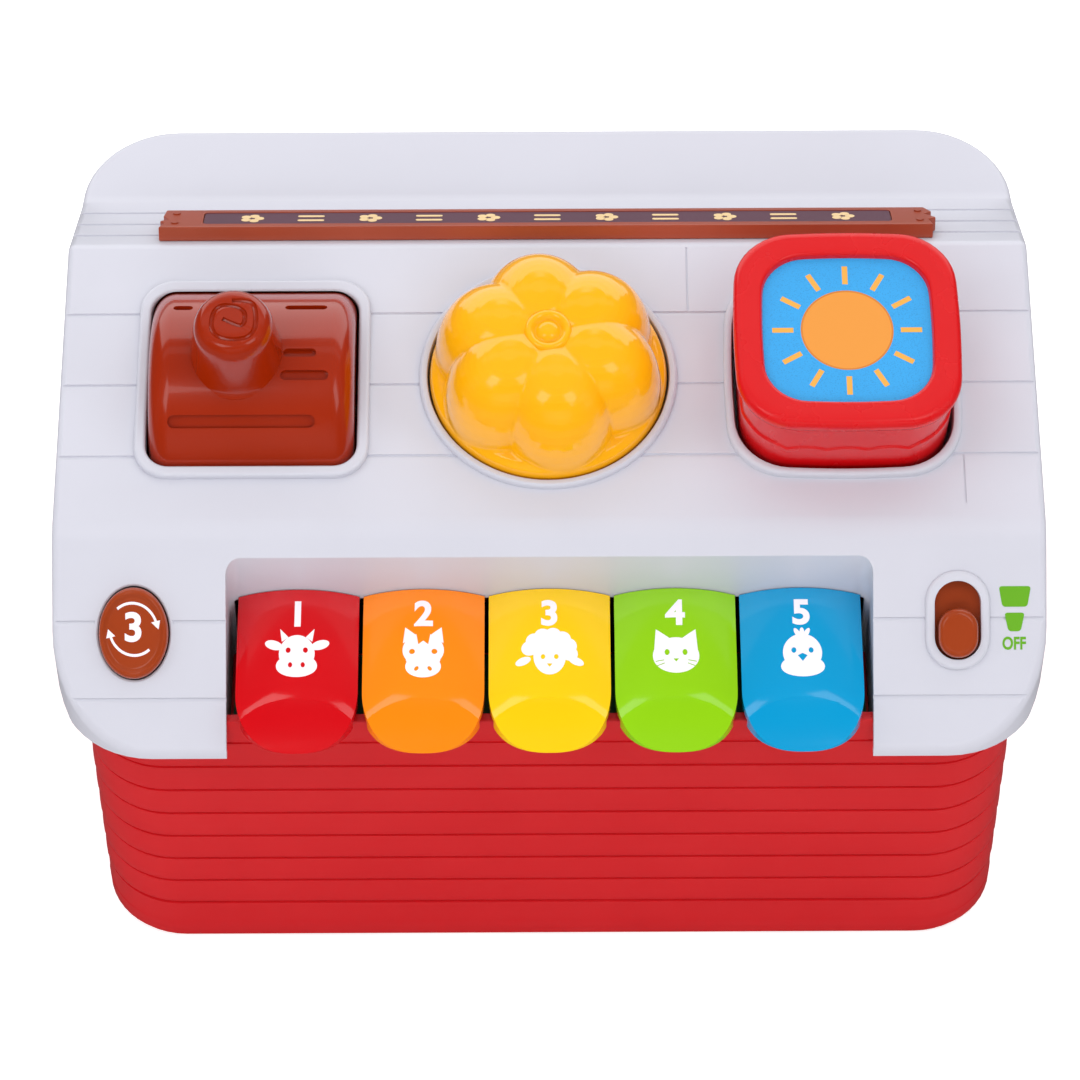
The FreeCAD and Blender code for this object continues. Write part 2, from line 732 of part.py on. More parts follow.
# ---------------------------------------------------------------- base shell
def siding_walls():
    """Four walls in one body, with the siding grooves as one ring cut repeated upwards."""
    body = doc.addObject("PartDesign::Body", "siding_walls")
    outline = body_sketch(body, "wall_plan", "XY", "base_lift")
    rounded_loop(outline, HALF_BASE, BASE_FRONT, BASE_REAR, "base_corner")
    pad(body, outline, "ridge_height")
    hollow = body_sketch(body, "hollow_plan", "XY", "base_lift + ridge_height")
    rounded_loop(hollow, f"{HALF_BASE} - base_wall", f"{BASE_FRONT} + base_wall", f"{BASE_REAR} - base_wall",
                 "base_corner - base_wall")
    doc.recompute([body])
    pocket(body, hollow, "ridge_height + cut_margin")
    ring = body_sketch(body, "siding_plan", "XY", "siding_first + siding_cut / 2")
    rounded_loop(ring, f"{HALF_BASE} + cut_margin", f"{BASE_FRONT} - cut_margin", f"{BASE_REAR} + cut_margin",
                 "base_corner + cut_margin")
    rounded_loop(ring, f"{HALF_BASE} - siding_depth", f"{BASE_FRONT} + siding_depth",
                 f"{BASE_REAR} - siding_depth", "base_corner - siding_depth")
    groove = pocket(body, ring, "siding_cut")
    pattern = body.newObject("PartDesign::LinearPattern", "siding_pattern")
    pattern.Originals = [groove]
    pattern.Direction = (next(axis for axis in body.Origin.OriginFeatures if axis.Role == "Z_Axis"), [""])
    bind(pattern, Length="siding_pitch * (siding_count - 1)", Occurrences="siding_count")
    body.Tip = pattern
    return body


def inside_posts():
    """Four posts for the screws that hold the bottom plate."""
    return [cylinder(f"post_{number}", "post_dia", "post_height", x, y, FLOOR_Z)
            for number, (x, y) in enumerate(post_places())]


def post_places():
    reach = "(base_wall + post_dia / 2 - post_sink)"
    return [(f"{side} * ({HALF_BASE} - {reach})", y) for side in ("-1", "1")
            for y in (f"{BASE_FRONT} + base_corner + post_offset", f"{BASE_REAR} - base_corner - post_offset")]


def rod_ribs():
    """Two cross ribs with a slot for each push rod."""
    return [box(f"rod_rib_{number}", f"-{HALF_BASE} + base_wall / 2", y, f"{ROD_Z} - rib_height / 2",
                f"2 * {HALF_BASE} - base_wall", "rib_thick", "rib_height")
            for number, y in enumerate(("ridge_y - rib_front_row", "ridge_y + rib_rear_row"))]


def rod_slots():
    return [box(f"rod_slot_{i}", f"{key_x(i)} - rod_width / 2 - rod_clearance", "ridge_y - rod_slot_row",
                f"{ROD_Z} - rod_depth / 2 - rod_clearance", "rod_width + 2 * rod_clearance",
                f"{BASE_REAR} + cut_margin - (ridge_y - rod_slot_row)",
                "rod_depth + 2 * rod_clearance") for i in KEYS]


def door_openings():
    return [box(f"door_opening_{i}", f"{key_x(i)} - door_width / 2 + door_lap", f"{BASE_REAR} - cut_reach",
                f"{DOOR_HINGE_Z} - door_height + door_lap", "door_width - 2 * door_lap", "2 * cut_reach",
                "door_height - door_lap - door_knuckle_dia / 2 - door_top_gap") for i in KEYS]


def hinge_ears():
    """Ears between the doors and outside them, which carry the door rod."""
    return [box(f"hinge_ear_{i}", f"({i} - key_count / 2) * key_pitch - hinge_ear_wall / 2",
                f"{BASE_REAR} - hinge_ear_sink", f"{DOOR_HINGE_Z} - door_knuckle_dia / 2", "hinge_ear_wall",
                "door_knuckle_dia + hinge_ear_sink", "door_knuckle_dia")
            for i in range(len(KEYS) + 1)]


def make_base():
    under_roof = roof_profile("wall_limit_raw", "roof_wall", "roof_width")
    lower = box("wall_limit_low", "-roof_width / 2", EAVE_Y, "0", "roof_width", f"{REAR_Y} - {EAVE_Y}",
                f"{PROFILE_FLOOR} + cut_margin")
    walls = common("walls_trimmed", siding_walls(), fuse("wall_limit", under_roof, lower))
    front_cut = box("bay_front_cut", f"-{BAY_WIDTH} / 2 - bay_wall - cut_margin", f"{BASE_FRONT} - cut_margin",
                    SILL_Z, f"{BAY_WIDTH} + 2 * bay_wall + 2 * cut_margin", "bay_cut_depth + cut_margin",
                    "ridge_height")
    sill = box("key_sill", f"-{BAY_WIDTH} / 2 + sill_end_gap", BASE_FRONT, f"{SILL_Z} - sill_depth",
               f"{BAY_WIDTH} - 2 * sill_end_gap", "base_wall", "sill_depth")
    shelf = box("key_shelf", f"-{BAY_WIDTH} / 2", f"{BASE_FRONT} + base_wall / 2", f"{HINGE_Z} - shelf_drop",
                BAY_WIDTH, "shelf_depth", "shelf_thick")
    whole = fuse("base_whole", walls, sill, shelf, *inside_posts(), *rod_ribs(), *hinge_ears())
    rod_hole = cylinder("door_rod_hole", "door_pin_dia + pin_fit", "key_pitch * (key_count + 1)",
                        x="-key_pitch * (key_count + 1) / 2", y=DOOR_HINGE_Y, z=DOOR_HINGE_Z, axis="x")
    screw_holes = [cylinder(f"post_hole_{number}", "screw_dia", "post_hole_depth + cut_margin", x, y,
                            f"{FLOOR_Z} - cut_margin")
                   for number, (x, y) in enumerate(post_places())]
    return node(cut("base_cut", whole, front_cut, rod_hole, *rod_slots(), *door_openings(), *screw_holes),
                "base_shell")


# ---------------------------------------------------------------- bottom plate and what sits on it
BATTERY_LONG = "(cell_length + battery_end_room)"
BATTERY_WIDE = "(cell_pitch * cell_count + battery_side_room)"
LID_LONG = f"({BATTERY_LONG} + 2 * lid_margin)"
LID_WIDE = f"({BATTERY_WIDE} + 2 * lid_margin)"
BOARD_Z = f"({FLOOR_Z} - weld + board_lift)"


def make_base_plate():
    inset = "(base_wall + plate_gap)"
    plate = rounded_block("plate_blank", f"{HALF_BASE} - {inset}", f"{BASE_FRONT} + {inset}",
                          f"{BASE_REAR} - {inset}", PLATE_Z, "plate_thick", f"base_corner - {inset}")
    stands = [cylinder(f"board_stand_{n}", "stand_dia", "board_lift", x, y, f"{FLOOR_Z} - weld")
              for n, (x, y) in enumerate(board_corners())]
    grille = [box(f"grille_{n}", "speaker_x - grille_length / 2",
                  f"speaker_y + ({n} - (grille_slots - 1) / 2) * grille_pitch - grille_width / 2", "0",
                  "grille_length", "grille_width", "2 * cut_reach") for n in range(int(sheet.grille_slots))]
    hatch = centred_box("battery_hatch", LID_LONG, LID_WIDE, "2 * cut_reach", "-battery_x", "battery_y", "0")
    holes = [cylinder(f"plate_hole_{n}", "screw_dia + screw_clearance", "2 * cut_reach", x, y, "0")
             for n, (x, y) in enumerate(post_places())]
    stand_holes = [cylinder(f"stand_hole_{n}", "stand_hole_dia", "2 * cut_reach", x, y,
                            f"{BOARD_Z} - board_screw_length") for n, (x, y) in enumerate(board_corners())]
    return node(cut("plate_cut", fuse("plate_whole", plate, *stands), hatch, *grille, *holes, *stand_holes),
                "base_plate")


def board_corners():
    return [(f"battery_x + {sx} * (board_length / 2 - board_hole_inset)",
             f"battery_y + {sy} * (board_width / 2 - board_hole_inset)")
            for sx in ("-1", "1") for sy in ("-1", "1")]


def make_feet():
    places = [(f"{side} * ({HALF_BASE} - foot_inset)", y) for side in ("-1", "1")
              for y in (f"{BASE_FRONT} + foot_inset", f"{BASE_REAR} - foot_inset")]
    return node(group("feet", *[cone(f"foot_{n}", "foot_dia - foot_taper", "foot_dia", "foot_height", x, y)
                                for n, (x, y) in enumerate(places)]), "rubber_feet")


def screw(name, x, y, z, length):
    """A pan-head screw driven upwards; z is at the inner face of its head."""
    shank = cylinder(f"{name}_shank", "screw_dia - screw_thread_gap", length, x, y, z)
    head = cylinder(f"{name}_head", "screw_head_dia", "screw_head_height", x, y, f"{z} - screw_head_height")
    return fuse(name, shank, head)


def make_power():
    screws = [screw(f"case_screw_{n}", x, y, PLATE_Z, "case_screw_length")
              for n, (x, y) in enumerate(post_places())]
    node(group("screws", *screws), "case_screws")
    lid = centred_box("battery_lid", f"{LID_LONG} - 2 * plate_gap", f"{LID_WIDE} - 2 * plate_gap",
                      "plate_thick - lid_recess", "-battery_x", "battery_y", PLATE_Z)
    lid_screw_x = f"(-battery_x + {BATTERY_LONG} / 2 + lid_screw_offset)"
    lid_hole = cylinder("lid_hole", "screw_dia", "2 * cut_reach", lid_screw_x, "battery_y", "0")
    node(cut("lid", lid, lid_hole), "battery_door")
    node(screw("lid_screw", lid_screw_x, "battery_y", PLATE_Z, "lid_screw_length"), "battery_door_screw")
    tray = centred_box("tray_blank", f"{LID_LONG} + 2 * battery_wall", f"{LID_WIDE} + 2 * battery_wall",
                       "cell_dia + battery_headroom + battery_roof", "-battery_x", "battery_y", FLOOR_Z)
    room = centred_box("tray_room", f"{BATTERY_LONG} - 2 * cell_shift", BATTERY_WIDE,
                       "cell_dia + battery_headroom", "-battery_x - cell_shift", "battery_y",
                       f"{FLOOR_Z} - cut_margin")
    boss_hole = cylinder("tray_screw_hole", "screw_dia", "cut_reach", lid_screw_x, "battery_y",
                         f"{FLOOR_Z} - cut_margin")
    node(cut("tray", tray, room, boss_hole), "battery_box")
    cell_z = f"({FLOOR_Z} + cell_dia / 2 + cell_rest)"
    cell_start = "(-battery_x - cell_length / 2 - cell_shift)"
    cells, coils = [], []
    for i in range(int(sheet.cell_count)):
        y = f"battery_y + ({i} - (cell_count - 1) / 2) * cell_pitch"
        can = cylinder(f"cell_can_{i}", "cell_dia", "cell_length - cell_tip", cell_start, y, cell_z, "x")
        tip = cylinder(f"cell_tip_{i}", "cell_tip_dia", "cell_tip", f"{cell_start} + cell_length - cell_tip", y,
                       cell_z, "x")
        cells.append(fuse(f"cell_{i}", can, tip))
        coils.append(cylinder(f"contact_coil_{i}", "contact_coil_dia",
                              "battery_end_room / 2 - cell_shift - contact_gap - contact_thick",
                              f"-battery_x - {BATTERY_LONG} / 2 + contact_thick", y, cell_z, "x"))
    node(group("cells", *cells), "battery_cells")
    reach = f"({BATTERY_LONG} / 2 - contact_gap - contact_thick / 2)"
    ends = [centred_box(f"contact_{side}", "contact_thick", f"{BATTERY_WIDE} - battery_side_room",
                        "cell_dia", x, "battery_y", f"{FLOOR_Z} + contact_thick")
            for side, x in (("left", f"-battery_x - {reach}"),
                            ("right", f"-battery_x + {reach} - 2 * cell_shift"))]
    node(group("contacts", fuse("contact_sprung", ends[0], *coils), ends[1]), "battery_contacts")


def make_sound():
    board = centred_box("board_blank", "board_length", "board_width", "board_thick", "battery_x", "battery_y",
                        BOARD_Z)
    top = f"({BOARD_Z} + board_thick)"
    chip = centred_box("board_chip", "chip_length", "chip_width", "chip_height", "battery_x", "battery_y", top)
    can = cylinder("board_can", "capacitor_dia", "capacitor_height", "battery_x + capacitor_x",
                   "battery_y + capacitor_y", top)
    holes = [cylinder(f"board_hole_{n}", "board_hole_dia", "board_thick + 2 * cut_margin", x, y,
                      f"{BOARD_Z} - cut_margin") for n, (x, y) in enumerate(board_corners())]
    node(cut("board", fuse("board_whole", board, chip, can), *holes), "main_board")
    screws = []
    for n, (x, y) in enumerate(board_corners()):
        shank = cylinder(f"board_screw_shank_{n}", "board_screw_dia", "board_screw_length", x, y,
                         f"{top} - board_screw_length")
        head = cylinder(f"board_screw_head_{n}", "board_screw_head_dia", "board_screw_head_height", x, y, top)
        screws.append(fuse(f"board_screw_{n}", shank, head))
    node(group("small_screws", *screws), "board_screws")
    cone_z = f"({FLOOR_Z} + speaker_ring_height)"
    frame = cone("speaker_cone", "speaker_dia", "speaker_dia * speaker_cone_share",
                 "speaker_height * speaker_cone_share", "speaker_x", "speaker_y", cone_z)
    ring = cylinder("speaker_ring", "speaker_dia", "speaker_ring_height", "speaker_x", "speaker_y", FLOOR_Z)
    magnet = cylinder("speaker_magnet", "speaker_dia * speaker_magnet_share", "speaker_magnet_height",
                      "speaker_x", "speaker_y", f"{cone_z} + speaker_height * speaker_cone_share")
    node(fuse("speaker_whole", ring, frame, magnet), "speaker")


# ---------------------------------------------------------------- keys
def key_outline():
    """A key's side view: sloping top, scooped facet, nose in front of the sill, flat underside."""
    rear = f"({HINGE_Y} + key_rear_lap)"
    facet = "(ridge_y - key_facet_y)"
    nose = "(ridge_y - key_nose_reach)"
    top = "(ridge_height - key_top_drop)"
    facet_z = f"({top} - ({rear} - {facet}) * tan(key_pitch_down))"
    nose_z = "(ridge_height - key_nose_drop)"
    under = "(ridge_height - key_under_drop)"
    bottom = f"({nose_z} - key_nose_round)"
    return [(rear, under), (rear, top), (facet, facet_z),
            (f"{nose} + key_nose_round", f"{nose_z} + key_nose_round"), (nose, nose_z),
            (f"{nose} + key_nose_round / 4", bottom), (f"{nose} + key_nose_depth", bottom),
            (f"{nose} + key_nose_depth", under)]


def make_key(i):
    name = f"key_{i + 1}"
    body = doc.addObject("PartDesign::Body", f"{name}_body")
    side = body_sketch(body, f"{name}_side", "YZ")
    place_points(side, key_outline())
    pad(body, side, "key_width", symmetric=True)
    doc.recompute([body])
    top_edges = []
    for number, edge in enumerate(body.Shape.Edges, start=1):
        ends = [vertex.Point for vertex in edge.Vertexes]
        at_side = all(abs(abs(point.x) - sheet.key_width / 2) < TOUCH for point in ends)
        slopes = abs(ends[0].y - ends[1].y) > sheet.key_crown
        flat = abs(ends[0].z - ends[1].z) < TOUCH
        if at_side and slopes and not flat:
            top_edges.append(f"Edge{number}")
    uncrowned = body.Tip
    crown = body.newObject("PartDesign::Fillet", f"{name}_crown")
    crown.Base = (uncrowned, top_edges)
    bind(crown, Radius="key_crown")
    body.Tip = crown
    nose = "(ridge_y - key_nose_reach)"
    plan = rounded_block(f"{name}_plan_block", "key_width / 2", nose, f"{HINGE_Y} + 2 * {NOSE_CORNER}",
                         PROFILE_FLOOR, "ridge_height", NOSE_CORNER)
    shaped = common(f"{name}_shaped", body, plan)
    under = "(ridge_height - key_under_drop)"
    hollow = centred_box(f"{name}_hollow", "key_width - 2 * key_wall - key_crown",
                         "key_facet_y - key_hinge_y - 4 * key_crown", "key_crown + cut_margin", "0",
                         "ridge_y - (key_facet_y + key_hinge_y) / 2 - key_crown", f"{under} - cut_margin")
    rib = centred_box(f"{name}_plunger", "key_plunger_width", "key_plunger_width", "key_plunger_height", "0",
                      f"{HINGE_Y} - key_plunger_reach", f"{under} - key_plunger_drop")
    boss = cylinder(f"{name}_boss", "key_boss_dia", "key_width", "-key_width / 2", HINGE_Y, HINGE_Z, "x")
    arm = centred_box(f"{name}_arm", "key_arm_width", "key_arm_thick", "key_arm_reach", "0", HINGE_Y,
                      f"{HINGE_Z} - key_arm_reach")
    bore = cylinder(f"{name}_bore", "key_shaft_dia + 2 * run_clearance", "key_width + 2 * cut_margin",
                    "-key_width / 2 - cut_margin", HINGE_Y, HINGE_Z, "x")
    whole = fuse(f"{name}_whole", cut(f"{name}_shell", shaped, hollow), boss, arm, rib)
    solid = cut(f"{name}_cut", whole, bore)
    return node(move(solid, key_x(i)), name)


def make_keyboard():
    for i in KEYS:
        make_key(i)
    shaft_half = f"({BAY_WIDTH} / 2 + bay_wall + sill_end_gap)"
    node(cylinder("shaft", "key_shaft_dia", f"2 * {shaft_half}", f"-{shaft_half}", HINGE_Y, HINGE_Z, "x"),
         "key_shaft")
    board_z = f"({HINGE_Z} - shelf_drop + key_board_rise)"
    board = box("key_board_blank", f"-{BAY_WIDTH} / 2 + sill_end_gap",
                f"{BASE_FRONT} + base_wall + sill_end_gap", board_z, f"{BAY_WIDTH} - 2 * sill_end_gap",
                "key_board_depth", "board_thick")
    node(board, "key_board")
    dome_top = "(ridge_height - key_under_drop - key_plunger_drop - joint_gap)"
    domes = [cone(f"dome_{i}", "dome_base_dia", "dome_top_dia", f"{dome_top} - ({board_z} + board_thick)",
                  key_x(i), f"{HINGE_Y} - key_plunger_reach", f"{board_z} + board_thick") for i in KEYS]
    node(group("domes", *domes), "key_domes")


# ---------------------------------------------------------------- push rods
def make_rods():
    front = f"({HINGE_Y} + key_arm_thick / 2 + joint_gap)"
    back = f"({BASE_REAR} - rod_travel_room)"
    for i in KEYS:
        rod = box(f"rod_{i + 1}", f"{key_x(i)} - rod_width / 2", front, f"{ROD_Z} - rod_depth / 2",
                  "rod_width", f"{back} - {front}", "rod_depth")
        collar = centred_box(f"rod_collar_{i + 1}", "rod_width + 2 * rod_collar_lap", "rod_collar_lap",
                             "rod_depth + 2 * rod_collar_rise", key_x(i), "ridge_y - rod_collar_row",
                             f"{ROD_Z} - rod_depth / 2 - rod_collar_rise")
        node(fuse(f"rod_{i + 1}_whole", rod, collar), f"push_rod_{i + 1}")


# ---------------------------------------------------------------- doors, animals and stalls
def make_stalls():
    inner = "(key_count * key_pitch)"
    rear = f"({BASE_REAR} - base_wall - run_clearance)"
    low = f"({DOOR_HINGE_Z} - door_height + door_lap - stall_wall)"
    high = f"({DOOR_HINGE_Z} - door_knuckle_dia / 2 - door_top_gap)"
    block = box("stall_block", f"-{inner} / 2 - stall_wall / 2", f"{rear} - stall_depth - stall_wall", low,
                f"{inner} + stall_wall", "stall_depth + stall_wall", f"{high} - {low} + stall_wall")
    rooms = [box(f"stall_room_{i}", f"{key_x(i)} - key_pitch / 2 + stall_wall / 2", f"{rear} - stall_depth",
                 f"{low} + stall_wall", "key_pitch - stall_wall", "stall_depth + cut_margin",
                 f"{high} - {low} - stall_wall") for i in KEYS]
    ways = [box(f"stall_way_{i}", f"{key_x(i)} - rod_width / 2 - rod_clearance",
                f"{rear} - stall_depth - cut_reach", f"{low} - cut_margin", "rod_width + 2 * rod_clearance",
                "stall_depth + 2 * cut_reach",
                f"{ROD_Z} + rod_depth / 2 + rod_clearance - {low} + cut_margin") for i in KEYS]
    node(cut("stalls", block, *rooms, *ways), "stall_tray")


def make_door(i):
    """A barn door with its knuckles, and the animal fixed inside it, lying face down until the door lifts."""
    x = key_x(i)
    outer = f"({BASE_REAR} + joint_gap)"
    low = f"({DOOR_HINGE_Z} - door_height)"
    panel = centred_box(f"door_{i + 1}_panel", "door_width", "door_thick", "door_height - door_panel_gap", x,
                        f"{outer} + door_thick / 2", low)
    trim = ("door_trim_proud + weld", f"{outer} + door_thick + door_trim_proud / 2 - weld / 2")
    trim_low = f"({low} + door_trim_inset)"
    trim_high = f"({DOOR_HINGE_Z} - door_strap - door_trim_inset)"
    brace = [centred_box(f"door_{i + 1}_rail_{n}", "door_width - 2 * door_trim_inset", trim[0],
                         "door_trim_width", x, trim[1], z)
             for n, z in enumerate((trim_low, f"{trim_high} - door_trim_width"))]
    stile_x = "(door_width / 2 - door_trim_inset - door_trim_width / 2)"
    stiles = [centred_box(f"door_{i + 1}_stile_{n}", "door_trim_width", trim[0], f"{trim_high} - {trim_low}",
                          f"{x} + {side} * {stile_x}", trim[1], trim_low) for n, side in enumerate(("-1", "1"))]
    knuckles = []
    for n, side in enumerate(("-1", "1")):
        at = f"({x} + {side} * (door_width / 2 - door_knuckle_width / 2))"
        knuckles.append(cylinder(f"door_{i + 1}_knuckle_{n}", "door_knuckle_dia - 2 * door_knuckle_gap",
                                 "door_knuckle_width", f"{at} - door_knuckle_width / 2", DOOR_HINGE_Y,
                                 DOOR_HINGE_Z, "x"))
        knuckles.append(centred_box(f"door_{i + 1}_strap_{n}", "door_knuckle_width", "door_thick", "door_strap",
                                    at, f"{outer} + door_thick / 2", f"{DOOR_HINGE_Z} - door_strap"))
    bore = cylinder(f"door_{i + 1}_bore", "door_pin_dia + 2 * run_clearance", "door_width + 2 * cut_margin",
                    f"{x} - door_width / 2 - cut_margin", DOOR_HINGE_Y, DOOR_HINGE_Z, "x")
    node(cut(f"door_{i + 1}_cut", fuse(f"door_{i + 1}_whole", panel, *brace, *stiles, *knuckles), bore),
         f"door_{i + 1}")
    top = f"({DOOR_HINGE_Z} - figure_from_hinge)"
    body = box(f"animal_{i + 1}_body", f"{x} - figure_width / 2 + figure_neck", f"{outer} - figure_tall",
               f"{top} - figure_thick", "figure_width - 2 * figure_neck", "figure_tall", "figure_thick")
    head = box(f"animal_{i + 1}_head", f"{x} - figure_width / 2", f"{outer} - figure_tall * figure_head_share",
               f"{top} - figure_thick", "figure_width", "figure_tall * figure_head_share", "figure_thick")
    node(fuse(f"animal_{i + 1}_whole", body, head), f"animal_{i + 1}")


def make_doors():
    for i in KEYS:
        make_door(i)
    half = "(key_count * key_pitch / 2 + hinge_ear_wall)"
    node(cylinder("door_pin", "door_pin_dia", f"2 * {half}", f"-{half}", DOOR_HINGE_Y, DOOR_HINGE_Z, "x"),
         "door_rod")
    springs = []
    for i in KEYS:
        tube = cylinder(f"spring_{i}_outer", "door_pin_dia + 2 * door_spring_wall + pin_fit",
                        "door_spring_length", f"{key_x(i)} - door_spring_length / 2", DOOR_HINGE_Y,
                        DOOR_HINGE_Z, "x")
        hole = cylinder(f"spring_{i}_inner", "door_pin_dia + pin_fit", "door_spring_length + 2 * cut_margin",
                        f"{key_x(i)} - door_spring_length / 2 - cut_margin", DOOR_HINGE_Y, DOOR_HINGE_Z, "x")
        leg = box(f"spring_{i}_leg", f"{key_x(i)} - door_spring_wall / 2", BASE_REAR,
                  f"{DOOR_HINGE_Z} + door_pin_dia / 2 + weld", "door_spring_wall", "door_spring_leg",
                  "door_spring_wall - weld")
        springs.append(cut(f"spring_{i}", fuse(f"spring_{i}_whole", tube, leg), hole))
    node(group("springs", *springs), "door_springs")


# ---------------------------------------------------------------- log
def log_drum(length):
    """The full round log with soft ends, on the slope frame's X axis before it is lowered."""
    body = doc.addObject("PartDesign::Body", "log_drum")
    ring = body_sketch(body, "log_round", "YZ")
    edge = ring.addGeometry(Part.Circle(Vector(), Vector(0, 0, 1), sheet.log_radius), False)
    ring.addConstraint(Sketcher.Constraint("Coincident", edge, 3, -1, 1))
    size = ring.addConstraint(Sketcher.Constraint("Radius", edge, sheet.log_radius))
    ring.setExpression(f"Constraints[{size}]", "Sizes.log_radius")
    drum = pad(body, ring, length, symmetric=True)
    doc.recompute([body])
    rims = [f"Edge{number}" for number, rim in enumerate(body.Shape.Edges, start=1) if len(rim.Vertexes) == 1]
    soft = body.newObject("PartDesign::Fillet", "log_soft_ends")
    soft.Base = (drum, rims)
    bind(soft, Radius="log_end_round")
    body.Tip = soft
    return move(group("log_drum_lowered", body), z="-log_drop")


def make_log():
    length = "(log_window_width - 2 * log_gap)"
    start = f"-{length} / 2"
    drum = log_drum(length)
    bore = cylinder("log_hollow", "2 * (log_radius - log_wall)", f"{length} - 2 * log_wall",
                    f"{start} + log_wall", "0", "-log_drop", "x")
    lower = centred_box("log_lower", "log_window_width + cut_reach", "3 * log_radius", "2 * log_radius", "0",
                        "0", "-log_drop - log_cut_drop - 2 * log_radius")
    hubs = cylinder("log_hub", "log_hub_dia", length, start, "0", "-log_drop", "x")
    stub = cone("log_stub", "stub_base_dia", "stub_top_dia", "stub_height + stub_root", "-stub_offset", "0",
                "log_radius - log_drop - stub_root")
    shell = cut("log_shell", drum, bore, lower)
    pin_bore = cylinder("log_pin_bore", "log_pin_dia + 2 * run_clearance", f"{length} + 2 * cut_margin",
                        f"{start} - cut_margin", "0", "-log_drop", "x")
    solid = cut("log_cut", fuse("log_whole", shell, hubs, stub), pin_bore)
    node(on_front_slope(solid, f"-{LOG_X}"), "log_lever")
    pin_half = "(log_window_width / 2 + log_ear_wall)"
    pin = cylinder("log_pin", "log_pin_dia", f"2 * {pin_half}", f"-{pin_half}", z="-log_drop", axis="x")
    node(on_front_slope(pin, f"-{LOG_X}"), "log_axle")


# ---------------------------------------------------------------- pumpkin
def make_pumpkin():
    lobe_dia = "(pumpkin_dia * pumpkin_lobe_share)"
    tall = "pumpkin_height + cup_depth - pumpkin_floor_gap"
    foot = "pumpkin_floor_gap - cup_depth"
    lobes = []
    for i in range(int(sheet.pumpkin_lobes)):
        turn = f"({i} * {4 * QUARTER} / pumpkin_lobes + pumpkin_lobe_turn)"
        reach = f"(pumpkin_dia / 2 - {lobe_dia} / 2)"
        lobes.append(cylinder(f"lobe_{i}", lobe_dia, tall, f"{reach} * cos({turn})", f"{reach} * sin({turn})",
                              foot))
    dome = doc.addObject("Part::Ellipsoid", "pumpkin_dome")
    bind(dome, Radius1="pumpkin_height", Radius2="pumpkin_dia / 2", Radius3="pumpkin_dia / 2")
    skirt = cylinder("pumpkin_skirt", "pumpkin_dia", "cup_depth - pumpkin_floor_gap", z=foot)
    form = common("pumpkin_form", fuse("pumpkin_lobed", *lobes), fuse("pumpkin_envelope", dome, skirt))
    hollow = doc.addObject("Part::Ellipsoid", "pumpkin_inside")
    inner = "(pumpkin_dia / 2 - pumpkin_side_wall)"
    under = "(-cup_depth - collar_wall - pumpkin_shaft_out)"
    bind(hollow, Radius1="pumpkin_height - pumpkin_wall", Radius2=inner, Radius3=inner)
    hollow_low = cylinder("pumpkin_inside_low", f"2 * {inner}", "cup_depth + pumpkin_wall",
                          z="-cup_depth - cut_margin")
    hub = cylinder("pumpkin_hub", "pumpkin_hub_dia", "pumpkin_hub_depth",
                   z="pumpkin_height + pumpkin_hub_rise - pumpkin_hub_depth")
    stem = cylinder("pumpkin_stem", "pumpkin_hub_dia", "pumpkin_height + cup_depth - pumpkin_hub_depth",
                    z="joint_gap - cup_depth")
    shaft = cylinder("pumpkin_shaft", "pumpkin_shaft_dia", "pumpkin_height", z=under)
    screw_bore = cylinder("pumpkin_screw_bore", "screw_dia", "washer_screw_length + cut_margin",
                          z=f"{under} - cut_margin")
    whole = fuse("pumpkin_whole", cut("pumpkin_shell", form, hollow, hollow_low), hub, stem, shaft)
    node(on_front_slope(cut("pumpkin_cut", whole, screw_bore), "0"), "pumpkin_knob")
    washer = cut("washer_cut", cylinder("washer", "pumpkin_shaft_dia + 2 * washer_lap", "washer_thick",
                                        z=f"{under} - washer_thick"),
                 cylinder("washer_bore", "screw_dia", "washer_thick + 2 * cut_margin",
                          z=f"{under} - washer_thick - cut_margin"))
    node(on_front_slope(washer, "0"), "pumpkin_washer")
    bolt = fuse("pumpkin_bolt", cylinder("bolt_shank", "screw_dia - screw_thread_gap", "washer_screw_length",
                                         z=f"{under} - washer_thick"),
                cylinder("bolt_head", "screw_head_dia", "screw_head_height",
                         z=f"{under} - washer_thick - screw_head_height"))
    node(on_front_slope(bolt, "0"), "pumpkin_screw")


# ---------------------------------------------------------------- sun button
def square_block(name, half, low, height, radius):
    return rounded_block(name, half, f"-({half})", half, low, height, radius)


def make_sun():
    body = square_block("sun_body", "sun_body_width / 2", "-sun_skirt",
                        "sun_height - sun_rim_depth + sun_skirt", "sun_corner")
    rim = square_block("sun_rim", "sun_rim_width / 2", "sun_height - sun_rim_depth", "sun_rim_depth",
                       "sun_corner + sun_rim_lap")
    inside = square_block("sun_inside", "sun_body_width / 2 - sun_wall", "-cut_reach",
                          "sun_height - sun_recess - sun_wall + cut_reach", "sun_corner - sun_wall")
    recess = square_block("sun_recess_room", "sun_picture_width / 2 + sun_plate_gap", "sun_height - sun_recess",
                          "cut_reach", "sun_picture_corner")
    stem = cylinder("sun_stem", "sun_stem_dia", "sun_height - sun_recess - sun_wall / 2 + sun_skirt",
                    z="-sun_skirt")
    shell = cut("sun_shell", fuse("sun_outer", body, rim), inside, recess)
    node(on_front_slope(fuse("sun_whole", shell, stem), SUN_X), "sun_button")
    picture = square_block("sun_plate", "sun_picture_width / 2", "sun_height - sun_recess", "sun_plate_thick",
                           "sun_picture_corner - sun_plate_gap")
    node(on_front_slope(picture, SUN_X), "sun_picture")
    spring = coil("sun_coil", "sun_spring_dia", "spring_wall", "sun_cup_depth - sun_skirt", "-sun_cup_depth")
    node(on_front_slope(spring, SUN_X), "sun_spring")


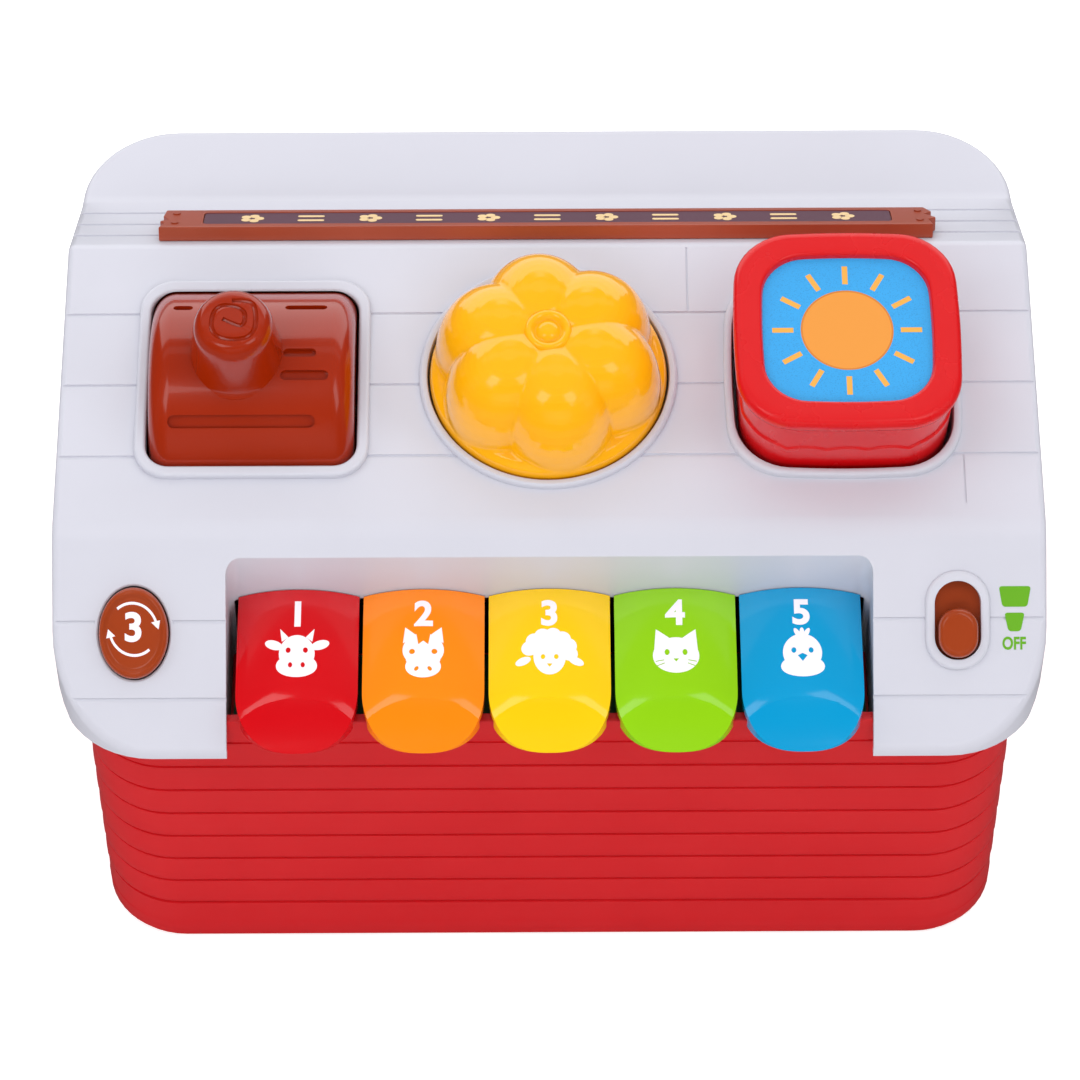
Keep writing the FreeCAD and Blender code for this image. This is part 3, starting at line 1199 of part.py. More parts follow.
def coil(name, outer, wall, length, low):
    """A spring as the tube that its wire turns fill."""
    return cut(name, cylinder(f"{name}_outer", outer, length, z=low),
               cylinder(f"{name}_inner", f"{outer} - 2 * {wall}", f"{length} + 2 * cut_margin",
                        z=f"{low} - cut_margin"))


# ---------------------------------------------------------------- mode button and volume slider
def make_small_controls():
    cap = oval("mode_cap", "mode_width / 2", "mode_depth / 2", "-mode_skirt", "mode_skirt + mode_proud")
    cap_room = oval("mode_room", "mode_width / 2 - mode_wall", "mode_depth / 2 - mode_wall",
                    "-mode_skirt - cut_margin", "mode_skirt + cut_margin + mode_proud - mode_wall")
    stem = cylinder("mode_stem", "mode_stem_dia", "mode_skirt + mode_proud / 2", z="-mode_skirt")
    node(on_eave_slope(fuse("mode_whole", cut("mode_shell", cap, cap_room), stem), f"-{MODE_X}", "mode_row"),
         "mode_button")
    spring = coil("mode_coil", "mode_spring_dia", "mode_spring_wall", "mode_guide_depth - mode_skirt",
                  "-mode_guide_depth")
    node(on_eave_slope(spring, f"-{MODE_X}", "mode_row"), "mode_spring")
    rest_y = "(knob_rest_gap - knob_travel / 2 - knob_end_gap)"
    grip = rounded_block("knob_grip", "knob_width / 2", f"{rest_y} - knob_length / 2",
                         f"{rest_y} + knob_length / 2", "-knob_sink", "knob_sink + knob_proud",
                         "knob_width / 2 - slot_corner_cut")
    tail = centred_box("knob_tail", "knob_tail_width", "knob_tail_length", "knob_tail_depth - knob_sink", "0",
                       rest_y, "-knob_tail_depth")
    slide = centred_box("knob_plate", "slot_width + 2 * knob_plate_side", "knob_length + 2 * knob_plate_lap",
                        "knob_plate_thick", "0", rest_y, "-knob_plate_sink")
    node(on_eave_slope(fuse("knob_whole", grip, tail, slide), SWITCH_X, "switch_row"), "volume_knob")
    switch_box = centred_box("switch_body", "switch_body_width", "switch_body_length", "switch_body_height",
                             "0", "switch_body_shift", "-switch_floor")
    node(on_eave_slope(switch_box, SWITCH_X, "switch_row"), "slide_switch")
    board = centred_box("switch_plate", "switch_board_width", "switch_rim_length + 2 * switch_board_lap",
                        "board_thick", "0", "0", "-switch_floor - board_thick")
    node(on_eave_slope(board, SWITCH_X, "switch_row"), "switch_board")


# ---------------------------------------------------------------- sign
def make_sign():
    plank = box("plank", f"-{SIGN_WIDTH} / 2", "0", "0", SIGN_WIDTH, "sign_depth", "sign_thick")
    panel_width = f"({SIGN_WIDTH} - 2 * panel_inset)"
    recess = centred_box("panel_room", f"{panel_width} + 2 * panel_gap", "panel_depth + 2 * panel_gap",
                         "sign_thick", "0", "sign_depth / 2", "sign_thick - panel_recess")
    nail_spots = [(f"{side} * ({SIGN_WIDTH} / 2 - nail_inset)", y) for side in ("-1", "1")
                  for y in ("nail_row", "sign_depth - nail_row")]
    holes = [cylinder(f"nail_hole_{n}", "nail_dia", "nail_depth + cut_margin", x, y, "sign_thick - nail_depth")
             for n, (x, y) in enumerate(nail_spots)]
    node(on_rear_slope(cut("plank_cut", plank, recess, *holes), "0", "sign_row"), "sign_board")
    panel = centred_box("panel", panel_width, "panel_depth", "panel_thick", "0", "sign_depth / 2",
                        "sign_thick - panel_recess")
    node(on_rear_slope(panel, "0", "sign_row"), "sign_panel")
    nails = [cylinder(f"nail_{n}", "nail_dia - nail_fit", "nail_length", x, y, "sign_thick - nail_depth")
             for n, (x, y) in enumerate(nail_spots)]
    node(on_rear_slope(group("nails", *nails), "0", "sign_row"), "sign_nails")


# ---------------------------------------------------------------- build, check and write
make_roof()
make_base()
make_base_plate()
make_feet()
make_power()
make_sound()
make_keyboard()
make_rods()
make_stalls()
make_doors()
make_log()
make_pumpkin()
make_sun()
make_small_controls()
make_sign()
doc.recompute()

for item in doc.Objects:
    if "Invalid" in item.State or "Error" in item.State:
        raise ValueError(f"{item.Label} failed: {item.State}")
for part in NODES:
    if part.Shape.isNull() or not part.Shape.isValid() or not part.Shape.Solids:
        raise ValueError(f"{part.Label} has no sound solid")
for part in NODES:
    part.Shape.exportStep(f"parts/{part.Label}.step")
    span = part.Shape.BoundBox
    print(f"{part.Label:20s} solids {len(part.Shape.Solids)} volume {part.Shape.Volume:10.1f} "
          f"x {span.XMin:7.1f} {span.XMax:7.1f} y {span.YMin:7.1f} {span.YMax:7.1f} "
          f"z {span.ZMin:6.1f} {span.ZMax:6.1f}")
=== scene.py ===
"""Dresses the barn toy: its white roof, red siding, piano keys, big controls and rear doors.

Pieces are modelled in millimetres in the toy's own frame, and complete() brings each one to metres.
"""
import math

import bmesh
import bpy
from mathutils import Matrix, Vector


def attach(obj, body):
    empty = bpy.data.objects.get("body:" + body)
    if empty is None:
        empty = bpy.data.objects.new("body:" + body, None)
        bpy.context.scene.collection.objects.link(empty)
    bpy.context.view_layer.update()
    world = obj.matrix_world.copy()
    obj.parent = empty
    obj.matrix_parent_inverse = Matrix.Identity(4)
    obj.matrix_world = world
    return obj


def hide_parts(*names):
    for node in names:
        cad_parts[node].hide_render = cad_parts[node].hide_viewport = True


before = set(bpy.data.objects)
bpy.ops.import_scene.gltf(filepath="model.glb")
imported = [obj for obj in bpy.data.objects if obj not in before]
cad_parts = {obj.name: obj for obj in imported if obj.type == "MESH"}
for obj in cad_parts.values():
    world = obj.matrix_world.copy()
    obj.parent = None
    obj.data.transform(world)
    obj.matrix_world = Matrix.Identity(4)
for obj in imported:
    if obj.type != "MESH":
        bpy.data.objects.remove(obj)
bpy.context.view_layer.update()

MM = 0.001
KEYS = range(5)
KEY_PITCH = 38.1
KEY_WIDTH = 36.8
BODIES = ("red", "orange", "yellow", "green", "blue")

# The roof from the side, as (y, z), and the pitch of each slope in degrees.
EAVE = (-108.3, 110.03)
KINK = (-56.2, 153.44)
RIDGE = (43.0, 172.0)
VALLEY = (82.7, 150.71)
REAR = (113.0, 152.3)
FRONT_PITCH, EAVE_PITCH, REAR_PITCH = 10.6, 39.8, 28.2
ROOF_HALF = 150.0
ROOF_CORNER = 30.0
ROOF_WALL = 2.5
BASE_HALF, BASE_FRONT, BASE_REAR, BASE_CORNER = 142.3, -100.0, 105.0, 25.0
CONTROL_ROW = 48.3
LOG_X, SUN_X, MODE_X, SWITCH_X = -90.5, 90.1, -125.2, 122.9
MODE_ROW, SWITCH_ROW = 31.3, 28.5
LOG_RADIUS, LOG_AXIS = 37.3, -21.0
SUN_BOW = 0.12
DOOR_HALF = 17.5
BRACE_X, BRACE_Z = 14.0, 19.5
NUMBER_ROW, HEAD_ROW = -72.2, -85.4
HEAD_LOW, HEAD_HIGH = 124, 137
MOTIF_PITCH, MOTIF_LOW, MOTIF_HIGH = 18.6, 4.3, 4.68
MODE_STRETCH = 27.6 / 21.0
GRAIN_SIZE = 900.0
LAMP_AIM = Vector((0, 0, 0.1))
DOOR_HINGE = (108.0, 128.0)


# ---------------------------------------------------------------- handling
def clear():
    """Leave edit mode with nothing selected."""
    if bpy.context.object and bpy.context.object.mode != "OBJECT":
        bpy.ops.object.mode_set(mode="OBJECT")
    bpy.ops.object.select_all(action="DESELECT")


def take(piece):
    clear()
    bpy.context.view_layer.objects.active = piece
    piece.select_set(True)
    return piece


def applied(piece):
    take(piece)
    bpy.ops.object.transform_apply(location=True, rotation=True, scale=True)
    return piece


def seated(piece, place):
    """Carry a piece by a matrix and keep the new place in its mesh."""
    piece.matrix_world = place @ piece.matrix_world
    return applied(piece)


def opened(piece, kind, wanted):
    """Open a piece in edit mode with the corners, edges or faces selected that pass the test."""
    take(piece)
    bpy.ops.object.mode_set(mode="EDIT")
    bpy.ops.mesh.select_mode(type=kind)
    bpy.ops.mesh.select_all(action="DESELECT")
    shape = bmesh.from_edit_mesh(piece.data)
    for item in {"VERT": shape.verts, "EDGE": shape.edges, "FACE": shape.faces}[kind]:
        if wanted(item):
            item.select_set(True)
    shape.select_flush_mode()
    bmesh.update_edit_mesh(piece.data)


def every(item):
    return True


def upright(edge):
    a, b = (corner.co for corner in edge.verts)
    return abs(a.x - b.x) < 0.01 and abs(a.y - b.y) < 0.01 and abs(a.z - b.z) > 0.1


def rims(edge):
    """An edge between a face that looks up and one that looks sideways."""
    tilt = sorted(abs(face.normal.z) for face in edge.link_faces)
    return len(tilt) == 2 and tilt[0] < 0.1 and tilt[1] > 0.6 and max(f.normal.z for f in edge.link_faces) > 0.6


def sharp(edge, degrees):
    return edge.is_manifold and edge.calc_face_angle(0) > math.radians(degrees)


def soften(piece, wanted, width, steps=3, fullness=0.5):
    opened(piece, "EDGE", wanted)
    bpy.ops.mesh.bevel(offset=width, segments=steps, affect="EDGES", clamp_overlap=True, profile=fullness)
    clear()
    return piece


def rounded_off(piece, width, steps=3, angle=30):
    """Round every edge of a piece that is sharper than the angle."""
    step = piece.modifiers.new("edges", "BEVEL")
    step.width = width
    step.segments = steps
    step.limit_method = "ANGLE"
    step.angle_limit = math.radians(angle)
    take(piece)
    bpy.ops.object.modifier_apply(modifier=step.name)
    return piece


def mixed(piece, tool, how, tangled=False):
    step = piece.modifiers.new(how.lower(), "BOOLEAN")
    step.operation = how
    step.solver = "EXACT"
    step.use_self = tangled
    step.object = tool
    take(piece)
    bpy.ops.object.modifier_apply(modifier=step.name)
    bpy.data.objects.remove(tool)
    return piece


def less(piece, *tools):
    for tool in tools:
        mixed(piece, tool, "DIFFERENCE")
    return piece


def plus(piece, *others):
    for other in others:
        mixed(piece, other, "UNION")
    return piece


def within(piece, limit, tangled=False):
    return mixed(piece, limit, "INTERSECT", tangled)


def twin(piece, name):
    """A copy with a mesh of its own."""
    copy = piece.copy()
    copy.data = piece.data.copy()
    copy.name = name
    bpy.context.scene.collection.objects.link(copy)
    return copy


def gathered(name, *things):
    """Several closed forms kept as one piece."""
    clear()
    for thing in things:
        thing.select_set(True)
    bpy.context.view_layer.objects.active = things[0]
    if len(things) > 1:
        bpy.ops.object.join()
    things[0].name = name
    return things[0]


def melted(piece, grain, passes):
    """Run overlapping forms into one smooth skin."""
    skin = piece.modifiers.new("skin", "REMESH")
    skin.mode = "VOXEL"
    skin.voxel_size = grain
    smooth = piece.modifiers.new("smooth", "SMOOTH")
    smooth.iterations = passes
    smooth.factor = 0.5
    take(piece)
    for step in (skin.name, smooth.name):
        bpy.ops.object.modifier_apply(modifier=step)
    return piece


def complete(piece, body, finish, *nodes, slot=None, smooth=40, weigh=True):
    """Bring a piece to metres, smooth it, and give it its finish and its body."""
    piece.scale = (MM, MM, MM)
    applied(piece)
    bpy.ops.object.shade_smooth_by_angle(angle=math.radians(smooth))
    if weigh:
        step = piece.modifiers.new("flats", "WEIGHTED_NORMAL")
        step.keep_sharp = True
        bpy.ops.object.modifier_apply(modifier=step.name)
    piece.data.materials.clear()
    piece.data.materials.append(finish)
    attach(piece, body)
    if nodes:
        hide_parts(*nodes)
    return piece


# ---------------------------------------------------------------- first forms
def named(name):
    piece = bpy.context.object
    piece.name = name
    return piece


def block(name, low, high):
    clear()
    bpy.ops.mesh.primitive_cube_add(size=1, location=[(a + b) / 2 for a, b in zip(low, high)])
    piece = named(name)
    piece.scale = [b - a for a, b in zip(low, high)]
    return applied(piece)


def plate(name, low, high, corner, steps=8):
    """A block with round upright corners."""
    return soften(block(name, low, high), upright, corner, steps)


def rod(name, radius, low, high, place=(0, 0), sides=64):
    clear()
    bpy.ops.mesh.primitive_cylinder_add(vertices=sides, radius=radius, depth=high - low,
                                        location=(*place, (low + high) / 2))
    return applied(named(name))


def cross_rod(name, radius, left, right, y=0, z=0, sides=64):
    clear()
    bpy.ops.mesh.primitive_cylinder_add(vertices=sides, radius=radius, depth=right - left,
                                        location=((left + right) / 2, y, z), rotation=(0, math.pi / 2, 0))
    return applied(named(name))


def ball(name, centre, radii, sides=32):
    clear()
    bpy.ops.mesh.primitive_uv_sphere_add(segments=sides, ring_count=sides // 2, radius=1, location=centre)
    piece = named(name)
    piece.scale = radii
    return applied(piece)


def outline(name, points):
    """A flat face laid down corner by corner."""
    clear()
    bpy.ops.mesh.primitive_plane_add(size=1, location=points[0])
    piece = applied(named(name))
    opened(piece, "VERT", every)
    bpy.ops.mesh.merge(type="CENTER")
    for last, following in zip(points, points[1:]):
        bpy.ops.mesh.extrude_vertices_move(TRANSFORM_OT_translate={"value": Vector(following) - Vector(last)})
    bpy.ops.mesh.select_all(action="SELECT")
    bpy.ops.mesh.edge_face_add()
    clear()
    return piece


def drawn_out(piece, shift):
    """Turn a flat face into a solid."""
    opened(piece, "FACE", every)
    bpy.ops.mesh.extrude_region_move(TRANSFORM_OT_translate={"value": shift})
    bpy.ops.mesh.select_all(action="SELECT")
    bpy.ops.mesh.normals_make_consistent(inside=False)
    clear()
    return piece


def raised(piece, steps):
    """Draw a level face up through steps of (half width, height), keeping its outline's shape."""
    opened(piece, "FACE", every)
    for (half, low), (following, high) in zip(steps, steps[1:]):
        bpy.ops.mesh.extrude_region_move(TRANSFORM_OT_translate={"value": (0, 0, high - low)})
        share = following / half
        bpy.ops.transform.resize(value=(share, share, 1), center_override=(0, 0, high))
    bpy.ops.mesh.select_all(action="SELECT")
    bpy.ops.mesh.normals_make_consistent(inside=False)
    clear()
    return piece


def turned(name, steps, sides=96, stretch=1.0):
    """A round or oval form drawn up through steps of (half width, height)."""
    clear()
    bpy.ops.mesh.primitive_circle_add(vertices=sides, radius=steps[0][0], fill_type="NGON",
                                      location=(0, 0, steps[0][1]))
    piece = named(name)
    piece.scale = (1, stretch, 1)
    return raised(applied(piece), steps)


def soft_square(name, corner, bow, steps, cuts=7):
    """A square form with round corners and slightly bowed sides, drawn up through the steps."""
    clear()
    half = steps[0][0]
    bpy.ops.mesh.primitive_plane_add(size=2 * half, location=(0, 0, steps[0][1]))
    piece = applied(named(name))
    opened(piece, "VERT", every)
    bpy.ops.mesh.bevel(offset=corner, segments=10, affect="VERTICES")
    opened(piece, "EDGE", lambda edge: edge.calc_length() > 0.6 * half)
    bpy.ops.mesh.subdivide(number_cuts=cuts)
    bpy.ops.mesh.select_all(action="SELECT")
    bpy.ops.transform.tosphere(value=bow)
    clear()
    return raised(piece, steps)


def stadium(name, half_length, steps):
    """A slot-shaped form with half-round ends, drawn up through the steps."""
    clear()
    half = steps[0][0]
    bpy.ops.mesh.primitive_plane_add(size=2, location=(0, 0, steps[0][1]))
    piece = named(name)
    piece.scale = (half, half_length, 1)
    applied(piece)
    opened(piece, "VERT", every)
    bpy.ops.mesh.bevel(offset=half * 0.98, segments=12, affect="VERTICES")
    clear()
    return raised(piece, steps)


def lettering(name, words, size, weight, depth):
    """Plain sans lettering as a solid, centred, standing on the level plane."""
    clear()
    bpy.ops.object.text_add()
    piece = named(name)
    piece.data.body = words
    piece.data.size = size
    piece.data.offset = weight
    piece.data.extrude = depth / 2
    piece.data.align_x = "CENTER"
    piece.data.align_y = "CENTER"
    bpy.ops.object.convert(target="MESH")
    piece = named(name)
    opened(piece, "VERT", every)
    bpy.ops.mesh.remove_doubles(threshold=0.001)
    clear()
    return seated(piece, Matrix.Translation((0, 0, depth / 2)))


def turn(axis, degrees):
    return Matrix.Rotation(math.radians(degrees), 4, axis)


def shift(x=0, y=0, z=0):
    return Matrix.Translation((x, y, z))


def on_slope(slope, x, row):
    """The frame of a slope, x across, y up the slope and z out of it, row measured down from its top."""
    top, pitch, way = {"front": (RIDGE, FRONT_PITCH, -1), "eave": (KINK, EAVE_PITCH, -1),
                       "rear": (RIDGE, -REAR_PITCH, 1)}[slope]
    return shift(x, *top) @ turn("X", pitch) @ shift(0, way * row, 0)


# ---------------------------------------------------------------- finishes
def linear(red, green, blue):
    """A colour given as 0 to 255 screen values."""
    return tuple(v / 255 / 12.92 if v < 11 else ((v / 255 + 0.055) / 1.055) ** 2.4
                 for v in (red, green, blue)) + (1.0,)


def value_of(nodes, links, operation, *sources):
    """A maths node fed by links or plain numbers."""
    step = nodes.new("ShaderNodeMath")
    step.operation = operation
    for socket, source in zip(step.inputs, sources):
        if isinstance(source, (int, float)):
            socket.default_value = source
        else:
            links.new(source, socket)
    return step.outputs[0]


def moulded_group():
    """Moulded plastic: a soft mottle in colour and gloss, and the fine texture of the mould."""
    group = bpy.data.node_groups.new("moulded_plastic", "ShaderNodeTree")
    for label, kind, value in (("Colour", "NodeSocketColor", (0.8, 0.8, 0.8, 1)),
                               ("Mottle", "NodeSocketFloat", 0.05),
                               ("Roughness", "NodeSocketFloat", 0.3),
                               ("Grain size", "NodeSocketFloat", GRAIN_SIZE),
                               ("Grain", "NodeSocketFloat", 0.2)):
        group.interface.new_socket(name=label, in_out="INPUT", socket_type=kind).default_value = value
    for label, kind in (("Colour", "NodeSocketColor"), ("Roughness", "NodeSocketFloat"),
                        ("Height", "NodeSocketFloat")):
        group.interface.new_socket(name=label, in_out="OUTPUT", socket_type=kind)
    nodes, links = group.nodes, group.links
    given, made = nodes.new("NodeGroupInput"), nodes.new("NodeGroupOutput")
    place = nodes.new("ShaderNodeTexCoord")
    cloud = nodes.new("ShaderNodeTexNoise")
    cloud.inputs["Scale"].default_value = 38.0
    cloud.inputs["Detail"].default_value = 4.0
    grain = nodes.new("ShaderNodeTexNoise")
    grain.inputs["Detail"].default_value = 3.0
    spread = nodes.new("ShaderNodeMapRange")
    spread.inputs["From Min"].default_value = 0.25
    spread.inputs["From Max"].default_value = 0.75
    spread.inputs["To Min"].default_value = -1.0
    for source in (cloud, grain):
        links.new(place.outputs["Object"], source.inputs["Vector"])
    links.new(given.outputs["Grain size"], grain.inputs["Scale"])
    links.new(cloud.outputs["Fac"], spread.inputs["Value"])
    sway = spread.outputs["Result"]
    colour = nodes.new("ShaderNodeVectorMath")
    colour.operation = "SCALE"
    links.new(given.outputs["Colour"], colour.inputs[0])
    links.new(value_of(nodes, links, "MULTIPLY_ADD", sway, given.outputs["Mottle"], 1.0),
              colour.inputs["Scale"])
    links.new(colour.outputs[0], made.inputs["Colour"])
    links.new(value_of(nodes, links, "MULTIPLY_ADD", sway, 0.035, given.outputs["Roughness"]),
              made.inputs["Roughness"])
    links.new(value_of(nodes, links, "MULTIPLY", grain.outputs["Fac"], given.outputs["Grain"]),
              made.inputs["Height"])
    return group


MOULDED = moulded_group()


def finish(name, colour, roughness=0.3, mottle=0.03, grain=0.15, coat=0.0, metallic=0.0, bump=0.1):
    """A finish made with the moulded plastic group."""
    made = bpy.data.materials.new(name)
    made.use_nodes = True
    nodes, links = made.node_tree.nodes, made.node_tree.links
    shader = nodes["Principled BSDF"]
    skin = nodes.new("ShaderNodeGroup")
    skin.node_tree = MOULDED
    for label, value in (("Colour", linear(*colour)), ("Mottle", mottle), ("Roughness", roughness),
                         ("Grain size", GRAIN_SIZE), ("Grain", grain)):
        skin.inputs[label].default_value = value
    relief = nodes.new("ShaderNodeBump")
    relief.inputs["Strength"].default_value = bump
    relief.inputs["Distance"].default_value = 0.0002
    links.new(skin.outputs["Colour"], shader.inputs["Base Color"])
    links.new(skin.outputs["Roughness"], shader.inputs["Roughness"])
    links.new(skin.outputs["Height"], relief.inputs["Height"])
    links.new(relief.outputs["Normal"], shader.inputs["Normal"])
    shader.inputs["Coat Weight"].default_value = coat
    shader.inputs["Coat Roughness"].default_value = 0.05
    shader.inputs["Metallic"].default_value = metallic
    return made


ROOF_WHITE = finish("roof_white", (203, 203, 214), roughness=0.36, mottle=0.012, coat=0.1)
BARN_RED = finish("barn_red", (210, 22, 30), roughness=0.34, mottle=0.03, bump=0.15)
LOG_BROWN = finish("log_brown", (154, 36, 0), roughness=0.2, mottle=0.05, coat=0.5)
PUMPKIN_ORANGE = finish("pumpkin_orange", (252, 176, 12), roughness=0.16, mottle=0.02, coat=0.6)
SUN_RED = finish("sun_red", (212, 8, 16), roughness=0.28, mottle=0.02, coat=0.2)
CONTROL_BROWN = finish("control_brown", (158, 60, 20), roughness=0.22, mottle=0.04, coat=0.4)
SIGN_BROWN = finish("sign_brown", (158, 66, 40), roughness=0.34, mottle=0.06, coat=0.2)
KEY_FINISHES = [finish(f"key_{name}", colour, roughness=0.13, mottle=0.015, coat=0.5, bump=0.04)
                for name, colour in zip(BODIES, ((206, 6, 18), (252, 134, 8), (248, 200, 8), (142, 204, 14),
                                                 (2, 150, 204)))]
PRINT_WHITE = finish("print_white", (244, 238, 246), roughness=0.4, mottle=0.02)
PRINT_GREEN = finish("print_green", (100, 170, 14), roughness=0.45, mottle=0.03)
PRINT_CREAM = finish("print_cream", (236, 204, 150), roughness=0.45, mottle=0.04)
FIGURE_DARK = finish("figure_dark", (46, 30, 28), roughness=0.3)
TRIM_CREAM = finish("trim_cream", (246, 240, 226), roughness=0.32, mottle=0.02, coat=0.2)
STALL_CREAM = finish("stall_cream", (240, 224, 186), roughness=0.4, mottle=0.03)
GREY_PLASTIC = finish("grey_plastic", (78, 80, 86), roughness=0.42, mottle=0.04, grain=0.4)
DARK_RUBBER = finish("dark_rubber", (62, 62, 66), roughness=0.75, mottle=0.06, grain=0.6)
PALE_RUBBER = finish("pale_rubber", (216, 216, 210), roughness=0.7, mottle=0.03)
BOARD_GREEN = finish("board_green", (18, 96, 52), roughness=0.35, mottle=0.1)
CELL_SLEEVE = finish("cell_sleeve", (48, 50, 58), roughness=0.25, mottle=0.05, coat=0.3)
STEEL = finish("steel", (188, 190, 196), roughness=0.3, mottle=0.04, metallic=1.0)
NICKEL = finish("nickel", (206, 206, 208), roughness=0.18, mottle=0.02, metallic=1.0)


# ---------------------------------------------------------------- roof
def roof_solid(name, inset, floor):
    """The roof's side profile, with soft folds, drawn across and limited to its plan."""
    line = [(EAVE[0], floor), EAVE, KINK, RIDGE, VALLEY, REAR, (REAR[0], floor)]
    points = [(-ROOF_HALF - 20, y, z if z == floor else z - inset) for y, z in line]
    side = outline(f"{name}_side", points)
    for place, width, steps in ((KINK, 4.0, 5), (RIDGE, 1.6, 4), (VALLEY, 2.5, 4)):
        opened(side, "VERT",
               lambda v: abs(v.co.y - place[0]) < 0.01 and abs(v.co.z - place[1] + inset) < 0.01)
        bpy.ops.mesh.bevel(offset=width, segments=steps, affect="VERTICES")
    solid = drawn_out(side, (2 * ROOF_HALF + 40, 0, 0))
    plan = plate(f"{name}_plan", (inset - ROOF_HALF, EAVE[0] + inset, floor - 5),
                 (ROOF_HALF - inset, REAR[0] - inset, 190), ROOF_CORNER - inset, 12)
    return within(solid, plan)


def under_skirt():
    """All that lies below the roof's skirt."""
    skirt, lip = 14.0, 2.5
    lip_y = EAVE[0] + (skirt - lip) / math.tan(math.radians(EAVE_PITCH))
    line = [(EAVE[0] - 20, 20), (EAVE[0] - 20, EAVE[1] - lip), (lip_y, EAVE[1] - lip),
            (KINK[0], KINK[1] - skirt),
            (RIDGE[0], RIDGE[1] - skirt), (VALLEY[0], VALLEY[1] - skirt), (REAR[0], REAR[1] - skirt),
            (REAR[0] + 20, REAR[1] - skirt), (REAR[0] + 20, 20)]
    return drawn_out(outline("under_skirt", [(-170, y, z) for y, z in line]), (340, 0, 0))


def board_line(slope, row):
    """A groove right across a slope: steep above, running out softly below."""
    section = outline("board_line",
                      [(-160, 0.35, 1), (-160, 0.0, -0.55), (-160, -0.25, -0.55), (-160, -1.5, 0.05),
                       (-160, -1.5, 1)])
    return seated(drawn_out(section, (320, 0, 0)), on_slope(slope, 0, row))


def board_seam(slope, x, top, bottom):
    """A butt joint between two boards of a row."""
    section = outline("board_seam", [(-0.3, 0, 1), (-0.3, 0, -0.35), (0.3, 0, -0.35), (0.3, 0, 1)])
    return seated(drawn_out(section, (0, bottom - top, 0)), on_slope(slope, x, bottom))


def make_roof():
    roof = roof_solid("roof_cover", 0.0, 60)
    limit = twin(roof, "roof_limit")
    soften(roof, lambda edge: rims(edge) and max(v.co.z for v in edge.verts) > 100, 2.3, 4)
    less(roof, roof_solid("roof_hollow", ROOF_WALL, 50), under_skirt())
    bay = within(block("bay", (-100, -99.5, 103.5), (100, -60.5, 170)), limit)
    plus(roof, bay)
    opening = soften(block("bay_opening", (-97.5, -140, 80), (97.5, -63, 200)),
                     lambda edge: upright(edge) and edge.verts[0].co.y > -64, 4.0, 6)
    less(roof, opening, block("key_way", (-96, -75, 90), (96, -55, 128)))
    soften(roof, lambda edge: rims(edge)
           and all(abs(abs(v.co.x) - 97.5) < 0.05 or v.co.y < 0 and abs(v.co.x) < 97.6
                   and -67.1 < v.co.y < -62.9 for v in edge.verts), 0.9, 3)
    for row in (24.9, 50.4, 75.5):
        less(roof, board_line("front", row))
    for row in (27.6, 51.0):
        less(roof, board_line("eave", row))
    for row in (10.8, 21.7, 33.0):
        less(roof, board_line("rear", row))
    less(roof, board_seam("front", 43.3, 1.5, 24.9), board_seam("front", -62.0, 50.4, 75.5),
         board_seam("front", 126.0, 75.5, 93.0))
    # the log's frame, hollowed to the log's own sweep
    front = on_slope("front", LOG_X, CONTROL_ROW)
    sweep = log_drum("log_sweep", 0.6)
    less(roof, seated(plate("log_gap", (-33.6, -34.0, -12), (33.6, 32.6, 9), 8.5), front),
         seated(twin(sweep, "roof_sweep"), front))
    frame_ring = plate("log_frame", (-35.7, -35.5, -2.8), (35.7, 34.3, 2.3), 10.5, 10)
    less(frame_ring, plate("log_window", (-32.1, -31.8, -9), (32.1, 30.0, 9), 7.2, 10))
    soften(frame_ring, rims, 1.1, 3)
    less(frame_ring, sweep)
    plus(roof, seated(frame_ring, front))
    # the pumpkin's collar and cup
    front = on_slope("front", 0, CONTROL_ROW)
    less(roof, seated(rod("pumpkin_gap", 38.6, -12, 9, sides=96), front))
    collar = turned("pumpkin_collar",
                    [(39.6, -12.6), (39.6, 1.2), (39.35, 1.8), (38.8, 2.2), (37.9, 2.2), (37.3, 1.9),
                     (37.0, 1.3), (37.0, -10.0)])
    plus(roof, seated(collar, front))
    # the sun's collar and well
    front = on_slope("front", SUN_X, CONTROL_ROW)
    less(roof, seated(soft_square("sun_gap", 16.4, SUN_BOW, [(34.6, -12), (34.6, 9)]), front))
    collar = soft_square("sun_collar", 17.4, SUN_BOW,
                         [(35.8, -22.6), (35.8, 1.4), (35.5, 2.1), (34.9, 2.5), (34.1, 2.5),
                          (33.5, 2.2), (33.2, 1.5), (33.2, -20.0)])
    plus(roof, seated(collar, front))
    # the mode button's hole and guide
    eave = on_slope("eave", MODE_X, MODE_ROW)
    less(roof, seated(turned("mode_gap", [(11.6, -7), (11.6, 7)], 64, MODE_STRETCH), eave))
    guide = turned("mode_guide",
                   [(12.4, -9.6), (12.4, -1.0), (12.0, 0.02), (11.3, 0.02), (10.85, -0.4), (10.85, -8.0)],
                   64, MODE_STRETCH)
    plus(roof, seated(guide, eave))
    # the volume slot and its rim
    eave = on_slope("eave", SWITCH_X, SWITCH_ROW)
    rim = stadium("switch_rim", 15.0,
                  [(9.75, -1.5), (9.75, 0.5), (9.5, 1.1), (8.9, 1.5), (7.6, 1.5), (7.0, 1.2)])
    plus(roof, seated(rim, eave))
    less(roof, seated(stadium("switch_slot", 11.9, [(7.0, -8), (7.0, 7)]), eave))
    return complete(roof, "housing", ROOF_WHITE, "roof_shell", slot="white_plastic", smooth=35)


